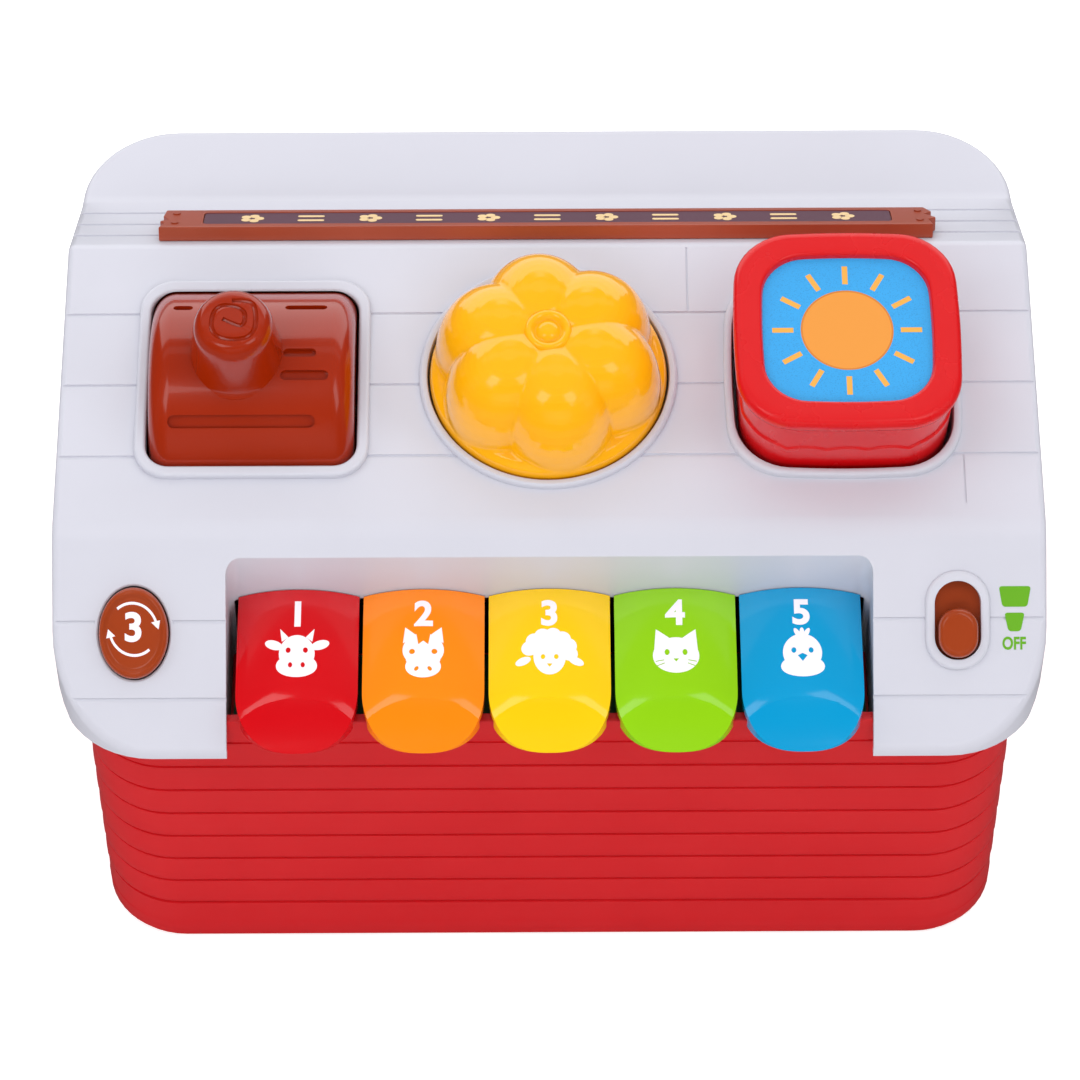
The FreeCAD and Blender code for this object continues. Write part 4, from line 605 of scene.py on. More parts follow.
# ---------------------------------------------------------------- siding
def siding_steps():
    """Stand-out of the lapped boards from the wall, as (stand-out, height)."""
    first, pitch, count = 19.25, 12.25, 12
    steps = [(0.2, 1.2), (0.85, 2.0), (0.9, 7.9), (0.75, 8.2), (0.6, first - 0.9)]
    for number in range(count):
        low = first + number * pitch
        steps += [(0.4, low - 0.85), (-0.5, low - 0.55), (-0.5, low + 0.3), (0.6, low + 0.55),
                  (0.9, low + 1.2),
                  (0.85, low + 4.0), (0.6, low + pitch - 1.6)]
    return steps


def make_siding():
    """Lapped boards right round the base, open over the key bay and round the doors."""
    clear()
    middle = (BASE_FRONT + BASE_REAR) / 2
    half_y = (BASE_REAR - BASE_FRONT) / 2
    steps = siding_steps()
    siding = block("barn_siding", (-BASE_HALF, BASE_FRONT, 0), (BASE_HALF, BASE_REAR, steps[0][1]))
    soften(siding, upright, BASE_CORNER, 12)
    opened(siding, "FACE", lambda face: face.normal.z > 0.9)
    last = 0.0
    level = steps[0][1]
    for out, height in steps:
        bpy.ops.mesh.extrude_region_move(TRANSFORM_OT_translate={"value": (0, 0, height - level)})
        grow = ((BASE_HALF + out) / (BASE_HALF + last), (half_y + out) / (half_y + last), 1)
        bpy.ops.transform.resize(value=grow, center_override=(0, middle, height))
        last, level = out, height
    clear()
    less(siding, soften(block("siding_hollow", (0.6 - BASE_HALF, BASE_FRONT + 0.6, -5),
                              (BASE_HALF - 0.6, BASE_REAR - 0.6, 200)), upright, BASE_CORNER - 0.6, 12))
    under_roof = [(EAVE[0] - 5, -3), (EAVE[0] - 5, EAVE[1] - 5)]
    under_roof += [(y, z - 3.4) for y, z in (KINK, RIDGE, VALLEY, REAR)]
    under_roof += [(REAR[0] + 5, REAR[1] - 3.4), (REAR[0] + 5, -3)]
    within(siding, drawn_out(outline("under_roof", [(-165, y, z) for y, z in under_roof]), (330, 0, 0)))
    less(siding, block("bay_front", (-100.5, -110, 115.3), (100.5, -60, 180)),
         plate_upright("door_field", (-98.2, 98, 73.5), (98.2, 112, 133.5), 3.0))
    return complete(siding, "housing", BARN_RED, slot="red_plastic", smooth=50)


def plate_upright(name, low, high, corner, steps=6):
    """A block with round corners as seen from the rear."""
    def along_y(edge):
        a, b = (v.co for v in edge.verts)
        return abs(a.x - b.x) < 0.01 and abs(a.z - b.z) < 0.01
    return soften(block(name, low, high), along_y, corner, steps)


# ---------------------------------------------------------------- keys
def key_blank():
    """One key about x = 0: crowned top sloping to the front, bent down into a dished half-round nose."""
    half = KEY_WIDTH / 2
    rise, bow = 4.0, 3.0
    rear_y, bend_y, tip_y = -58.0, -97.3, -118.0
    rear_z, bend_z, tip_z = 133.5, 126.55, 114.5
    count = 20
    radius = (half * half + rise * rise) / (2 * rise)
    spread = math.asin(half / radius)
    angles = [spread * (2 * n / count - 1) for n in range(count + 1)]
    arc = [(radius * math.sin(a), rear_y - bow * math.sin(a) ** 2 / math.sin(spread) ** 2,
            rear_z + radius * math.cos(a) - radius) for a in angles]
    key = outline("key_section", [(-half, rear_y - bow, 72.0)] + arc + [(half, rear_y - bow, 72.0)])
    opened(key, "FACE", every)
    step = (bend_y - rear_y) / 4
    for pitch in (7.9, 9.3, 10.7, 12.1):
        fall = step * math.tan(math.radians(pitch))
        bpy.ops.mesh.extrude_region_move(TRANSFORM_OT_translate={"value": (0, step, fall)})
    bpy.ops.mesh.extrude_region_move(TRANSFORM_OT_translate={"value": (0, tip_y - bend_y, tip_z - bend_z)})
    bpy.ops.transform.resize(value=(1, 1, 0.25), center_override=(0, tip_y, tip_z))
    bpy.ops.mesh.select_all(action="SELECT")
    bpy.ops.mesh.normals_make_consistent(inside=False)
    clear()
    soften(key, lambda edge: all(abs(v.co.y - bend_y + bow * (v.co.x / half) ** 2) < 0.05 and v.co.z > 120
                                 for v in edge.verts), 2.2, 5)
    plan = soften(block("key_plan", (-half, -113, 116.3), (half, -63.4, 150)),
                  lambda edge: upright(edge) and edge.verts[0].co.y < -100, half - 0.4, 18, 0.55)
    within(key, plan)
    soften(key, lambda edge: all(v.co.y < -95.6 and v.co.z > 116.6 and
                                 (abs(v.co.x) > half - 0.05 or v.co.y < -98.5) for v in edge.verts)
           and not upright(edge) and sharp(edge, 32), 2.4, 6)
    less(key, cross_rod("key_scoop", 40.0, -30, 30, -127.5, 153.7, 160),
         block("key_under", (-30, -103.5, 90), (30, -50, 119.5)))
    rounded_off(key, 0.8, 3, 9)
    hinge = plus(cross_rod("key_boss", 5.0, -half, half, -52.0, 125.5, 32),
                 block("key_neck", (-14, -66, 120.5), (14, -54, 125.5)),
                 block("key_arm", (-4, -52, 75.5), (4, -47, 124)))
    less(hinge, cross_rod("key_bore", 2.05, -30, 30, -52.0, 125.5, 32))
    return plus(key, hinge, block("key_plunger", (-3, -79, 117.5), (3, -73, 121)))


def printed(name, art, key, body, finish_used):
    """Lay flat artwork, drawn as upright solids over the key, on the key's own surface."""
    skin = twin(key, f"{name}_skin")
    opened(skin, "FACE", every)
    bpy.ops.transform.shrink_fatten(value=0.07)
    clear()
    within(art, skin, tangled=True)
    art.name = name
    return complete(art, body, finish_used, smooth=60, weigh=False)


def disc(x, y, half_x, half_y, low, high, lean=0, sides=40):
    """An upright oval bar, the building block of the printed animals."""
    return seated(rod("disc", 1.0, low, high, sides=sides),
                  shift(x, y, 0) @ turn("Z", lean) @ Matrix.Diagonal((half_x, half_y, 1, 1)))


def wedge(points, low, high):
    return drawn_out(outline("wedge", [(x, y, low) for x, y in points]), (0, 0, high - low))


# Each head: its ovals, one ear or horn, the ovals cut out and the outline cut out. Ovals are
# (x, y, half width, half height, lean), and what stands off the middle line has a mirrored twin.
HEADS = (
    ([(0, 0.5, 5.4, 6.2, 0), (0, -3.6, 6.2, 3.9, 0), (7.0, 3.6, 2.9, 1.5, 25)], [(4.6, 4.6), (5.2, 9.0), (2.6, 6.0)],
     [(2.6, 1.6, 0.75, 0.95, 0), (1.9, -3.4, 0.65, 0.9, 0)], []),
    ([(0, 1.6, 5.0, 5.6, 0), (0, -4.0, 4.3, 3.8, 0), (0, -1.0, 4.2, 4.6, 0)], [(4.9, 4.0), (4.4, 9.4), (1.6, 6.4)],
     [(2.7, 1.0, 0.7, 0.9, 0), (1.6, -4.8, 0.5, 0.8, 20)],
     [(-1.8, 7.6), (-1.2, 3.4), (0, 4.6), (1.2, 3.4), (1.8, 7.6)]),
    ([(0, -0.6, 4.9, 6.4, 0), (8.0, -2.2, 2.4, 1.3, -20)], [],
     [(2.0, -1.0, 0.7, 0.85, 0)], [(-0.9, -3.3), (0, -4.5), (0.9, -3.3)]),
    ([(0, -0.6, 7.0, 6.0, 0)], [(6.6, 1.0), (6.0, 8.4), (1.2, 4.6)],
     [(2.7, 0.4, 0.75, 1.05, 0)], [(-0.9, -1.8), (0, -2.9), (0.9, -1.8)]),
    ([(0, 0.2, 5.9, 6.2, 0), (0, -4.4, 6.6, 3.6, 0), (1.3, 6.6, 0.75, 2.0, -28), (0, 6.6, 0.75, 2.0, 0)], [],
     [(2.6, 0.9, 0.75, 0.95, 0)], [(-1.5, -0.9), (0, -2.9), (1.5, -0.9), (0, -0.1)]),
)
SHEEP, CAT = 2, 3
HEAD_STRETCH = (1, 1.25, 1, 1, 1)
SIDES = (-1, 1)


def animal_print(kind, low, high):
    """A plain animal head of this toy's own, about the origin, as an upright solid with its features cut out."""
    ovals, ear, holes, opening = HEADS[kind]
    deep = (low - 1, high + 1)
    forms = [disc(s * x, y, a, b, low, high, s * lean)
             for x, y, a, b, lean in ovals for s in (SIDES if x else (1,))]
    if ear:
        forms += [wedge([(s * x, y) for x, y in ear[::s]], low, high) for s in SIDES]
    if kind == SHEEP:
        forms[1:1] = [disc(6.1 * math.cos(a), 1.2 + 5.2 * math.sin(a), 2.5, 2.5, low, high)
                      for a in (math.radians(t) for t in range(-10, 200, 30))]
    cuts = [disc(s * x, y, a, b, *deep, s * lean) for x, y, a, b, lean in holes for s in SIDES]
    if opening:
        cuts.append(wedge(opening, *deep))
    if kind == CAT:
        cuts += [seated(block("whisker", (-1.3, -0.16, deep[0]), (1.3, 0.16, deep[1])),
                        shift(s * x, y, 0) @ turn("Z", -s * lean))
                 for x, y, lean in ((4.9, -2.4, 8), (4.7, -3.7, 20)) for s in SIDES]
    return less(plus(*forms), *cuts)


def make_keys():
    blank = key_blank()
    for i in KEYS:
        x = (i - 2) * KEY_PITCH
        body = f"key_{i + 1}"
        key = seated(twin(blank, f"key_{BODIES[i]}"), shift(x))
        number = seated(lettering("number", str(i + 1), 11.4, 0.4, 14.0), shift(x, NUMBER_ROW, 123))
        printed(f"number_{i + 1}", number, key, body, PRINT_WHITE)
        head = seated(animal_print(i, HEAD_LOW, HEAD_HIGH),
                      shift(x, HEAD_ROW) @ Matrix.Diagonal((HEAD_STRETCH[i], 0.97, 1, 1)))
        printed(f"animal_print_{i + 1}", head, key, body, PRINT_WHITE)
        complete(key, body, KEY_FINISHES[i], body, slot=f"key_{BODIES[i]}", smooth=40)
    bpy.data.objects.remove(blank)


# ---------------------------------------------------------------- log
def spiral_cutter():
    """A square spiral with soft corners, as a thin round bar in the level plane."""
    corners = [Vector((r * math.cos(math.radians(45 - 90 * n)), r * math.sin(math.radians(45 - 90 * n)), 0))
               * math.sqrt(2) for n, r in enumerate((6.9, 7.2, 6.7, 5.7, 4.0, 3.6))]
    places = [Vector((-0.3, 6.6, 0))]
    for n, corner in enumerate(corners):
        before = corners[n - 1] if n else places[0]
        after = corners[n + 1] if n + 1 < len(corners) else Vector((-3.4, 0.6, 0))
        places += [corner.lerp(before, 0.24), corner.lerp(after, 0.24)]
    places.append(Vector((-3.0, 0.2, 0)))
    clear()
    bpy.ops.curve.primitive_nurbs_path_add()
    bar = named("spiral")
    bar.data.splines.remove(bar.data.splines[0])
    line = bar.data.splines.new("NURBS")
    line.points.add(len(places) - 1)
    for point, spot in zip(line.points, places):
        point.co = (*spot, 1)
    line.order_u = 3
    line.use_endpoint_u = True
    line.resolution_u = 8
    bar.data.dimensions = "3D"
    bar.data.bevel_depth = 0.8
    bar.data.bevel_resolution = 2
    bar.data.use_fill_caps = True
    take(bar)
    bpy.ops.object.convert(target="MESH")
    return named("spiral")


def log_drum(name, grow):
    """The log's round body with softly rounded ends, or the slightly larger space that it sweeps."""
    half, soft = 31.4 + grow, 7.0 + grow
    curve = [(LOG_RADIUS + grow - soft + soft * math.sin(a), half - soft + soft * math.cos(a))
             for a in (math.radians(t) for t in range(0, 91, 10))]
    drum = turned(name, [(r, -h) for r, h in curve] + [(r, h) for r, h in reversed(curve)], 160)
    return seated(drum, shift(0, 0, LOG_AXIS) @ turn("Y", 90))


def bark_slot(left, right, along, width):
    """A shallow round-ended slot in the drum, at an angle round it measured from the slope's normal."""
    slot = stadium("bark_slot", (right - left) / 2, [(width / 2, -1.6), (width / 2, 3.0)])
    return seated(slot, shift((left + right) / 2, 0, LOG_AXIS) @ turn("X", -along) @ shift(0, 0, LOG_RADIUS)
                  @ turn("Z", 90))


def make_log():
    front = on_slope("front", LOG_X, CONTROL_ROW)
    drum = log_drum("log", 0.0)
    less(drum, block("log_lower", (-45, -45, -80), (45, 45, -26)))
    stub = turned("stub", [(15.6, 2.0), (15.3, 13.4), (14.6, 14.2), (14.2, 15.4), (13.9, 17.5), (13.0, 24.0),
                           (12.3, 29.6), (11.8, 31.6), (11.0, 33.2), (10.0, 34.2), (9.0, 34.6), (4.0, 34.8)])
    less(stub, seated(spiral_cutter(), shift(0, 0, 34.6)))
    plus(drum, seated(stub, shift(-4.2)))
    for left, right, angle, width in ((-24.4, -18.4, 29.5, 2.6), (9.9, 22.8, 29.5, 2.6), (10.0, 20.0, -1.0, 2.9),
                                      (9.2, 23.8, -12.5, 3.2), (-24.9, 19.7, -34.3, 4.0)):
        less(drum, bark_slot(left, right, angle, width))
    rounded_off(drum, 0.3, 2, 40)
    return complete(seated(drum, front), "log", LOG_BROWN, "log_lever", slot="brown_plastic", smooth=38)


# ---------------------------------------------------------------- pumpkin
def make_pumpkin():
    front = on_slope("front", 0, CONTROL_ROW)
    reach, broad, high, power = 15.0, 20.8, 29.0, 2.6
    swell = [(broad * (1 - (h / high) ** power) ** (1 / power), h)
             for h in (0.0, 4.0, 8.0, 11.0, 14.0, 16.5, 19.0, 21.0, 22.8, 24.4, 25.8, 27.0, 27.9, 28.5, 28.95)]
    lobe = turned("lobe", [(broad - 0.6, -8.6)] + swell, 112, 0.92)
    lobes = [seated(twin(lobe, "petal"), turn("Z", 39 + 60 * i) @ shift(reach)) for i in range(6)]
    bpy.data.objects.remove(lobe)
    base = turned("pumpkin", [(35.6, -8.6), (36.4, -7.6), (36.4, 1.4), (35.8, 3.6), (34.0, 5.0), (24.0, 7.0)], 128)
    body = gathered("pumpkin", base, *lobes)
    melted(body, 0.5, 1)
    less(body, block("pumpkin_low", (-50, -50, -60), (50, 50, -8.4)))
    hub = turned("hub", [(8.6, 14.0), (8.3, 25.0), (7.6, 25.6), (7.3, 27.2), (6.9, 28.1), (6.2, 28.5), (5.4, 28.5),
                         (4.7, 28.0), (4.2, 27.2), (3.8, 27.1), (3.4, 27.4), (2.8, 28.1), (1.6, 28.4)], 64)
    plus(body, hub)
    return complete(seated(body, front), "pumpkin", PUMPKIN_ORANGE, "pumpkin_knob", slot="yellow_orange", smooth=60,
                    weigh=False)


# ---------------------------------------------------------------- sun button
def scalloped(piece, level, rise, pitch):
    """Lift one ring of a square form's side into a row of round scallops."""
    opened(piece, "VERT", lambda v: abs(v.co.z - level) < 0.01)
    lifts = {}
    for v in bmesh.from_edit_mesh(piece.data).verts:
        if v.select:
            along = v.co.x if abs(v.co.y) > abs(v.co.x) else v.co.y
            lift = rise * math.sqrt(abs(math.cos(math.pi * along / pitch)))
            lifts.setdefault(round(lift, 2), []).append((v.co.x, v.co.y))
    clear()
    for lift, spots in lifts.items():
        opened(piece, "VERT", lambda v: abs(v.co.z - level) < 0.01
               and any(abs(v.co.x - x) < 1e-3 and abs(v.co.y - y) < 1e-3 for x, y in spots))
        bpy.ops.transform.translate(value=(0, 0, lift))
        clear()


def make_sun():
    front = on_slope("front", SUN_X, CONTROL_ROW)
    steps = [(31.0, -8.0), (31.9, -7.4), (32.2, 9.6), (31.7, 10.1), (31.8, 23.4), (32.6, 23.8), (33.7, 24.8),
             (34.0, 26.0), (33.9, 27.3), (33.4, 28.4), (32.5, 28.9), (31.4, 29.0), (26.6, 29.0), (25.9, 28.7),
             (25.5, 28.1), (25.2, 26.6)]
    button = soft_square("sun_button_body", 15.5, SUN_BOW, steps, cuts=23)
    for level in (9.6, 10.1):
        scalloped(button, level, 1.9, 12.4)
    complete(seated(button, front), "sun", SUN_RED, "sun_button", slot="red_plastic", smooth=38)
    picture = soft_square("sun_plate", 11.4, SUN_BOW, [(25.3, 26.4), (25.3, 26.95)])
    complete(seated(picture, front), "sun", sun_print(front), "sun_picture", slot="blue_print")


def sun_print(place):
    """A printed plate: a plain sun disc with even rays on a grainy blue sky."""
    made = finish("sky_print", (44, 158, 224), roughness=0.5, mottle=0.04, grain=0.5)
    nodes, links = made.node_tree.nodes, made.node_tree.links
    shader = nodes["Principled BSDF"]
    sky = shader.inputs["Base Color"].links[0].from_socket
    spot = nodes.new("ShaderNodeTexCoord")
    flat = nodes.new("ShaderNodeMapping")
    flat.vector_type = "TEXTURE"
    flat.inputs["Location"].default_value = place.to_translation() * MM
    flat.inputs["Rotation"].default_value = place.to_euler()
    flat.inputs["Scale"].default_value = (MM, MM, MM)
    split = nodes.new("ShaderNodeSeparateXYZ")
    links.new(spot.outputs["Object"], flat.inputs["Vector"])
    links.new(flat.outputs["Vector"], split.inputs[0])
    x, y = split.outputs[0], split.outputs[1]

    def sums(operation, *sources):
        return value_of(nodes, links, operation, *sources)

    reach = sums("SQRT", sums("ADD", sums("MULTIPLY", x, x), sums("MULTIPLY", y, y)))
    bearing = sums("ARCTAN2", y, x)
    sector = math.tau / 12
    across = sums("MULTIPLY", reach, sums("SINE", sums("PINGPONG", bearing, sector / 2)))
    ray = sums("MULTIPLY", sums("LESS_THAN", across, 0.85),
               sums("MULTIPLY", sums("GREATER_THAN", reach, 16.2), sums("LESS_THAN", reach, 22.6)))
    disc_mask = sums("LESS_THAN", reach, 14.0)
    rim_mask = sums("LESS_THAN", reach, 13.4)
    speckle = nodes.new("ShaderNodeTexNoise")
    speckle.inputs["Scale"].default_value = 2600.0
    speckle.inputs["Detail"].default_value = 2.0
    links.new(spot.outputs["Object"], speckle.inputs["Vector"])
    specks = sums("GREATER_THAN", speckle.outputs["Fac"], 0.58)

    def over(mask, colour, under):
        mix = nodes.new("ShaderNodeMix")
        mix.data_type = "RGBA"
        links.new(mask, mix.inputs["Factor"])
        links.new(under, mix.inputs["A"])
        mix.inputs["B"].default_value = linear(*colour)
        return mix.outputs["Result"]

    layer = over(sums("MULTIPLY", specks, 0.35), (30, 112, 178), sky)
    layer = over(ray, (232, 166, 66), layer)
    layer = over(disc_mask, (206, 122, 40), layer)
    layer = over(rim_mask, (228, 146, 50), layer)
    links.new(layer, shader.inputs["Base Color"])
    return made


# ---------------------------------------------------------------- mode button and volume slider
def make_mode():
    place = on_slope("eave", MODE_X, MODE_ROW)
    button = turned("mode_cap", [(10.0, -5.0), (10.45, -4.6), (10.5, 1.1), (10.3, 1.9), (9.8, 2.5), (9.3, 2.7),
                                 (8.9, 2.5), (8.4, 1.9), (7.8, 1.7), (5.0, 1.6)], 80, MODE_STRETCH)
    seated(button, place)
    marks = [seated(lettering("three", "3", 12.0, 0.35, 6.0), shift(0.0, 1.4, 0.5))]
    for side in (0, 1):
        clear()
        bpy.ops.mesh.primitive_plane_add(size=1, location=(7.1, 0, 0.5))
        arc = named("arrow_arc")
        arc.scale = (0.75, 1, 1)
        applied(arc)
        opened(arc, "EDGE", lambda edge: all(v.co.y > 0 for v in edge.verts))
        bpy.ops.mesh.select_all(action="INVERT")
        bpy.ops.mesh.delete(type="ONLY_FACE")
        opened(arc, "VERT", lambda v: v.co.y < 0)
        bpy.ops.mesh.delete(type="VERT")
        opened(arc, "EDGE", every)
        bpy.ops.mesh.spin(steps=18, angle=math.radians(-112), center=(0, 0, 0.5), axis=(0, 0, 1))
        opened(arc, "FACE", every)
        bpy.ops.mesh.extrude_region_move(TRANSFORM_OT_translate={"value": (0, 0, 6)})
        bpy.ops.mesh.select_all(action="SELECT")
        bpy.ops.mesh.remove_doubles(threshold=0.001)
        bpy.ops.mesh.normals_make_consistent(inside=False)
        clear()
        tip = wedge([(5.7, 0.6), (8.5, 0.6), (7.3, -1.7)], 0.5, 6.5)
        mark = plus(arc, tip)
        marks.append(seated(mark, shift(0, 1.2, 0) @ Matrix.Diagonal((1, 1.12, 1, 1)) @ turn("Z", 14 + 180 * side)))
    art = seated(gathered("mode_marks", *marks), place)
    printed("mode_marks", art, button, "mode", PRINT_WHITE)
    complete(button, "mode", CONTROL_BROWN, "mode_button", slot="brown_plastic", smooth=38)


def make_slider():
    place = on_slope("eave", SWITCH_X, SWITCH_ROW)
    rest_y = -3.8
    grip = stadium("slider_grip", 7.5, [(6.0, -3.2), (6.0, 2.6), (5.7, 3.6), (5.1, 4.2), (4.4, 4.4), (4.1, 4.3),
                                        (3.6, 4.45)])
    seated(grip, shift(0, rest_y, 0))
    slide = plate("slider_plate", (-9, rest_y - 12.5, -4.6), (9, rest_y + 15.6, -2.8), 2.0, 4)
    rounded_off(slide, 0.4, 2)
    tail = block("slider_tail", (-2, rest_y - 1.5, -8), (2, rest_y + 1.5, -4))
    knob = seated(plus(slide, grip, tail), place)
    complete(knob, "volume", CONTROL_BROWN, "volume_knob", slot="brown_plastic", smooth=38)
    ground = on_slope("eave", 0, 0)
    bars = [wedge([(135.3, -18.3), (136.4, -24.5), (143.9, -24.5), (145.0, -18.3)], -0.5, 0.08),
            wedge([(137.0, -26.3), (138.2, -31.9), (141.9, -31.9), (143.1, -26.3)], -0.5, 0.08)]
    for bar in bars:
        soften(bar, upright, 0.9, 4)
    off = seated(lettering("off_word", "OFF", 5.2, 0.16, 0.6),
                 shift(139.9, -35.7, -0.52) @ Matrix.Diagonal((0.78, 1, 1, 1)))
    complete(seated(gathered("volume_marks", *bars, off), ground), "housing", PRINT_GREEN)


# ---------------------------------------------------------------- sign
def make_sign():
    place = on_slope("rear", 0, 4.0)
    edge = [(-122.0, 0.0), (-120.4, 4.5), (-122.0, 6.4), (-119.4, 8.0), (-121.2, 11.2), (-120.6, 17.0),
            (119.2, 17.0), (121.4, 12.6), (119.0, 10.6), (122.4, 7.0), (119.8, 5.2), (121.0, 0.0)]
    plank = drawn_out(outline("sign_plank", [(x, y, 0.0) for x, y in edge]), (0, 0, 4.8))
    rounded_off(plank, 0.5, 2)
    less(plank, plate("sign_room", (-108.3, 2.9, 4.0), (108.3, 14.1, 9), 1.5, 4))
    complete(seated(plank, place), "housing", SIGN_BROWN, "sign_board", slot="brown_plastic")
    motifs = []
    for n in range(11):
        x, y = (n - 5) * MOTIF_PITCH, 8.5
        if n % 2:
            motifs += [seated(plate("slat", (-4.2, -0.8, MOTIF_LOW), (4.2, 0.8, MOTIF_HIGH), 0.7, 4),
                              shift(x, y + t, 0)) for t in (-2.0, 2.0)]
        else:
            motifs += [disc(x + 2.3 * math.cos(a), y + 2.3 * math.sin(a), 1.5, 1.5, MOTIF_LOW, MOTIF_HIGH, sides=20)
                       for a in (math.radians(72 * k) for k in range(5))]
    complete(seated(gathered("sign_motifs", *motifs), place), "housing", PRINT_CREAM)


# ---------------------------------------------------------------- rear doors and the animals behind them
def make_doors():
    hinge_y, hinge_z = DOOR_HINGE
    outer = BASE_REAR + 0.3
    low = hinge_z - 52.0
    panel = plate_upright("door_blank", (-DOOR_HALF, outer, low), (DOOR_HALF, outer + 3.0, low + 48.0), 2.0, 4)
    for x in (-10.5, -3.5, 3.5, 10.5):
        less(panel, block("plank_line", (x - 0.35, outer + 2.4, low - 1), (x + 0.35, outer + 5, low + 50)))
    for side in (-1, 1):
        at = side * (DOOR_HALF - 4.0)
        knuckle = cross_rod("knuckle", 2.6, at - 4, at + 4, hinge_y, hinge_z, 32)
        plus(panel, knuckle, block("strap", (at - 4, outer, hinge_z - 6), (at + 4, outer + 3, hinge_z - 0.6)))
    less(panel, cross_rod("pin_way", 1.31, -25, 25, hinge_y, hinge_z, 32))
    rounded_off(panel, 0.35, 2)
    bars = [block("rail", (-16, outer + 2.6, z), (16, outer + 4.4, z + 3.5)) for z in (low + 1.5, low + 40.5)]
    bars += [block("stile", (x - 1.75, outer + 2.6, low + 1.5), (x + 1.75, outer + 4.4, low + 44.0))
             for x in (-14.25, 14.25)]
    reach = math.hypot(BRACE_X, BRACE_Z)
    lean = math.degrees(math.atan2(BRACE_X, BRACE_Z))
    bars += [seated(block("brace", (-1.5, outer + 2.6, -reach), (1.5, outer + 4.1, reach)),
                    shift(0, 0, low + 22.7) @ turn("Y", side * lean)) for side in (-1, 1)]
    trim = bars[0]
    plus(trim, *bars[1:])
    rounded_off(trim, 0.4, 2)
    for i in KEYS:
        x = (i - 2) * KEY_PITCH
        body = f"door_{i + 1}"
        complete(seated(twin(panel, f"door_{BODIES[i]}"), shift(x)), body, KEY_FINISHES[i], body,
                 slot=f"key_{BODIES[i]}")
        complete(seated(twin(trim, f"door_trim_{i + 1}"), shift(x)), body, TRIM_CREAM, slot="white_plastic")
    for spare in (panel, trim):
        bpy.data.objects.remove(spare)


def figure(kind):
    """An animal standing on z = 0 and looking along +y, as overlapping soft forms, then its eyes and nose."""
    forms = [ball("trunk", (0, -0.2, 9.0), (7.6, 4.3, 7.6)), ball("head", (0, 0.2, 19.4), (7.4, 4.4, 6.6)),
             rod("leg", 2.6, 0.4, 6.0, (-4.2, -0.4), 24), rod("leg", 2.6, 0.4, 6.0, (4.2, -0.4), 24),
             ball("arm", (-7.2, 0.2, 10.4), (2.0, 2.2, 4.4)), ball("arm", (7.2, 0.2, 10.4), (2.0, 2.2, 4.4))]
    if kind == 0:
        forms += [ball("ear", (s * 9.0, -0.6, 20.6), (3.2, 1.6, 1.8)) for s in (-1, 1)]
        forms += [ball("horn", (s * 4.0, -0.4, 26.0), (1.2, 1.2, 2.6)) for s in (-1, 1)]
        forms += [ball("muzzle", (0, 2.4, 16.6), (4.9, 2.3, 3.0))]
    elif kind == 1:
        forms += [ball("ear", (s * 4.2, -0.6, 25.6), (1.5, 1.3, 3.0)) for s in (-1, 1)]
        forms += [ball("muzzle", (0, 2.2, 15.8), (3.9, 2.4, 3.7)), ball("mane", (0, 0.6, 25.2), (2.0, 2.6, 2.6))]
    elif kind == 2:
        forms += [ball("wool", (6.4 * math.cos(a), -0.4, 20.6 + 5.0 * math.sin(a)), (2.9, 3.4, 2.9))
                  for a in (math.radians(t) for t in range(-5, 190, 32))]
        forms += [ball("ear", (s * 9.4, -0.4, 17.4), (2.6, 1.5, 1.4)) for s in (-1, 1)]
    elif kind == 3:
        forms += [ball("ear", (s * 4.8, -0.4, 25.2), (2.2, 1.4, 3.2)) for s in (-1, 1)]
        forms += [ball("cheek", (s * 1.7, 3.0, 17.2), (1.9, 1.5, 1.5)) for s in (-1, 1)]
    else:
        forms += [ball("crest", (s * 1.4, -0.2, 26.4), (1.0, 1.1, 2.0)) for s in (-1, 0, 1)]
        forms += [ball("wing", (s * 8.2, -0.2, 9.8), (2.4, 2.0, 5.0)) for s in (-1, 1)]
    dots = [ball("eye", (s * 2.7, 4.0, 20.6), (0.85, 0.7, 1.0), 16) for s in (-1, 1)]
    if kind < 2:
        dots += [ball("nostril", (s * 1.6, 4.4, 16.6 - kind), (0.6, 0.45, 0.7), 16) for s in (-1, 1)]
    else:
        nose = ((0, 4.5, 18.0), (1.1, 0.6, 0.8)) if kind < 4 else ((0, 4.5, 18.2), (1.9, 1.1, 0.8))
        dots += [ball("nose", *nose, 16)]
    return melted(gathered("figure", *forms), 0.4, 6), gathered("figure_dots", *dots)


FIGURE_COLOURS = ((240, 232, 226), (196, 130, 72), (246, 240, 226), (224, 150, 70), (252, 214, 60))


def make_figures():
    outer = BASE_REAR + 0.3
    for i in KEYS:
        skin, dots = figure(i)
        lay = shift((i - 2) * KEY_PITCH, outer - 29.2, 101.75) @ turn("X", -90)
        tone = finish(f"figure_{i + 1}_skin", FIGURE_COLOURS[i], roughness=0.36, mottle=0.03, coat=0.1)
        skin.name = f"pop_up_animal_{i + 1}"
        dots.name = f"pop_up_face_{i + 1}"
        complete(seated(skin, lay), f"door_{i + 1}", tone, f"animal_{i + 1}", slot="figure_plastic", smooth=60,
                 weigh=False)
        complete(seated(dots, lay), f"door_{i + 1}", FIGURE_DARK, smooth=60, weigh=False)


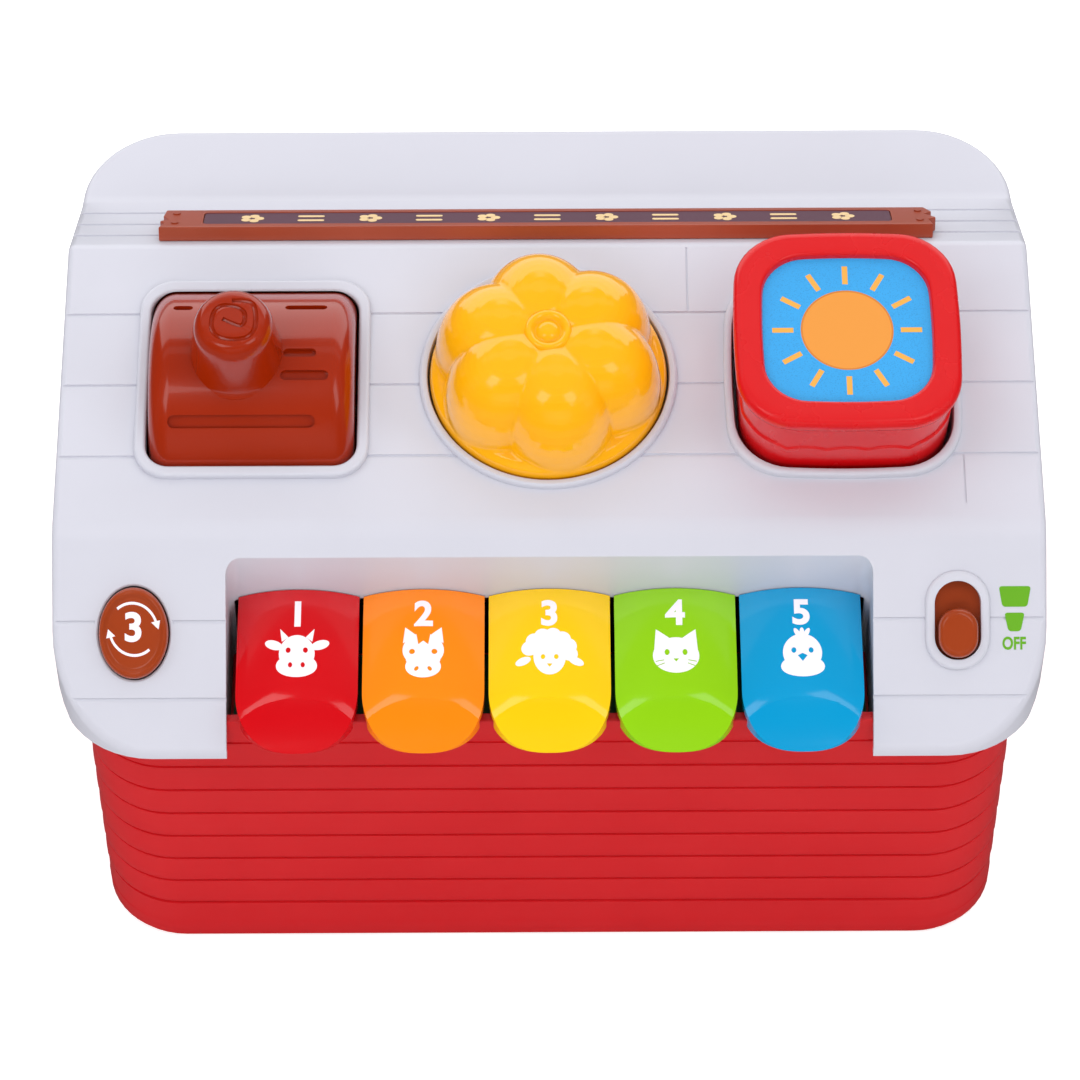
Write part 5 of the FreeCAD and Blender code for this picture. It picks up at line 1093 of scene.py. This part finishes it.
# ---------------------------------------------------------------- parts carried over as they are
def dress_frame():
    """Finishes for the parts whose own shape stays."""
    kept = {
        BARN_RED: ["base_shell", "battery_door"],
        GREY_PLASTIC: ["base_plate", "battery_box", "speaker"],
        DARK_RUBBER: ["rubber_feet"],
        PALE_RUBBER: ["key_domes"],
        BOARD_GREEN: ["main_board", "key_board", "switch_board"],
        CELL_SLEEVE: ["battery_cells"],
        NICKEL: ["battery_contacts", "log_axle", "door_rod", "key_shaft"],
        STALL_CREAM: ["stall_tray"],
        STEEL: ["case_screws", "battery_door_screw", "board_screws", "pumpkin_screw", "pumpkin_washer", "sun_spring",
                "mode_spring", "door_springs", "slide_switch"],
        SIGN_BROWN: ["sign_nails"],
        finish("sign_plum", (88, 46, 66), roughness=0.5, mottle=0.08): ["sign_panel"],
        finish("rod_white", (232, 230, 226), roughness=0.35): [f"push_rod_{i + 1}" for i in KEYS],
    }
    for used, nodes in kept.items():
        for name in nodes:
            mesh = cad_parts[name].data
            mesh.materials.clear()
            mesh.materials.append(used)


# ---------------------------------------------------------------- floor, light and camera
def lamp(name, place, size, power, mirrored=True):
    light = bpy.data.lights.new(name, "AREA")
    light.shape = "RECTANGLE"
    light.size, light.size_y = size
    light.energy = power
    holder = bpy.data.objects.new(name, light)
    bpy.context.scene.collection.objects.link(holder)
    holder.location = place
    holder.visible_glossy = mirrored
    holder.rotation_euler = (LAMP_AIM - Vector(place)).to_track_quat("-Z", "Y").to_euler()


def white_to_the_eye(made, plain, glossy):
    """A strength of 1 for the camera, and lower ones for the light a surface gathers and for reflections."""
    nodes, links = made.nodes, made.links
    path = nodes.new("ShaderNodeLightPath")
    seen = value_of(nodes, links, "MAXIMUM", path.outputs["Is Camera Ray"], path.outputs["Is Transmission Ray"])
    mirrored = value_of(nodes, links, "MULTIPLY", path.outputs["Is Glossy Ray"], glossy - plain)
    other = value_of(nodes, links, "ADD", mirrored, plain)
    return value_of(nodes, links, "MAXIMUM", seen, other)


def make_studio():
    scene = bpy.context.scene
    scene.view_settings.view_transform = "Standard"
    world = bpy.data.worlds.new("studio")
    scene.world = world
    world.use_nodes = True
    ground = world.node_tree.nodes["Background"]
    ground.inputs["Color"].default_value = (1, 1, 1, 1)
    world.node_tree.links.new(white_to_the_eye(world.node_tree, 0.36, 0.06), ground.inputs["Strength"])
    clear()
    bpy.ops.mesh.primitive_plane_add(size=8, location=(0, 0, -0.0004))
    floor = named("studio_floor")
    paper = bpy.data.materials.new("studio_paper")
    paper.use_nodes = True
    nodes = paper.node_tree.nodes
    shader = nodes["Principled BSDF"]
    shader.inputs["Roughness"].default_value = 0.9
    shader.inputs["Specular IOR Level"].default_value = 0.1
    shader.inputs["Emission Color"].default_value = (1, 1, 1, 1)
    path = nodes.new("ShaderNodeLightPath")
    links = paper.node_tree.links
    links.new(value_of(nodes, links, "MULTIPLY", path.outputs["Is Camera Ray"], 0.55),
              shader.inputs["Emission Strength"])
    dimmer = value_of(nodes, links, "MULTIPLY", path.outputs["Is Glossy Ray"], -0.68)
    links.new(value_of(nodes, links, "ADD", dimmer, 0.8), shader.inputs["Base Color"])
    floor.data.materials.append(paper)
    lamp("top_softbox", (0.0, 0.1, 1.3), (2.2, 1.6), 9.0, mirrored=False)
    lamp("left_softbox", (-1.2, -0.3, 0.8), (0.4, 0.9), 3.4, mirrored=False)
    lamp("right_softbox", (1.2, -0.4, 0.8), (0.4, 0.9), 3.0, mirrored=False)
    lamp("front_fill", (0.0, -1.7, 0.9), (1.8, 0.8), 14.0, mirrored=False)
    lamp("back_panel", (0.0, 1.5, 0.92), (3.2, 1.8), 22.0)
    lamp("ceiling_strip", (0.0, 0.44, 1.3), (1.9, 0.16), 0.25)
    lamp("left_card", (-0.45, -0.42, 1.1), (0.32, 0.55), 0.8)
    lamp("right_card", (0.45, -0.42, 1.1), (0.32, 0.55), 0.7)
    camera = bpy.data.cameras.new("photo_camera")
    camera.lens = 137.5
    camera.sensor_width = 36.0
    camera.clip_start = 0.05
    holder = bpy.data.objects.new("photo_camera", camera)
    scene.collection.objects.link(holder)
    holder.matrix_world = (shift(-2.75 * MM, -840.7 * MM, 1116.2 * MM) @ turn("X", 39.0) @ turn("Z", -0.25))
    scene.camera = holder


make_studio()
dress_frame()
make_roof()
make_siding()
make_keys()
make_log()
make_pumpkin()
make_sun()
make_mode()
make_slider()
make_sign()
make_doors()
make_figures()
clear()
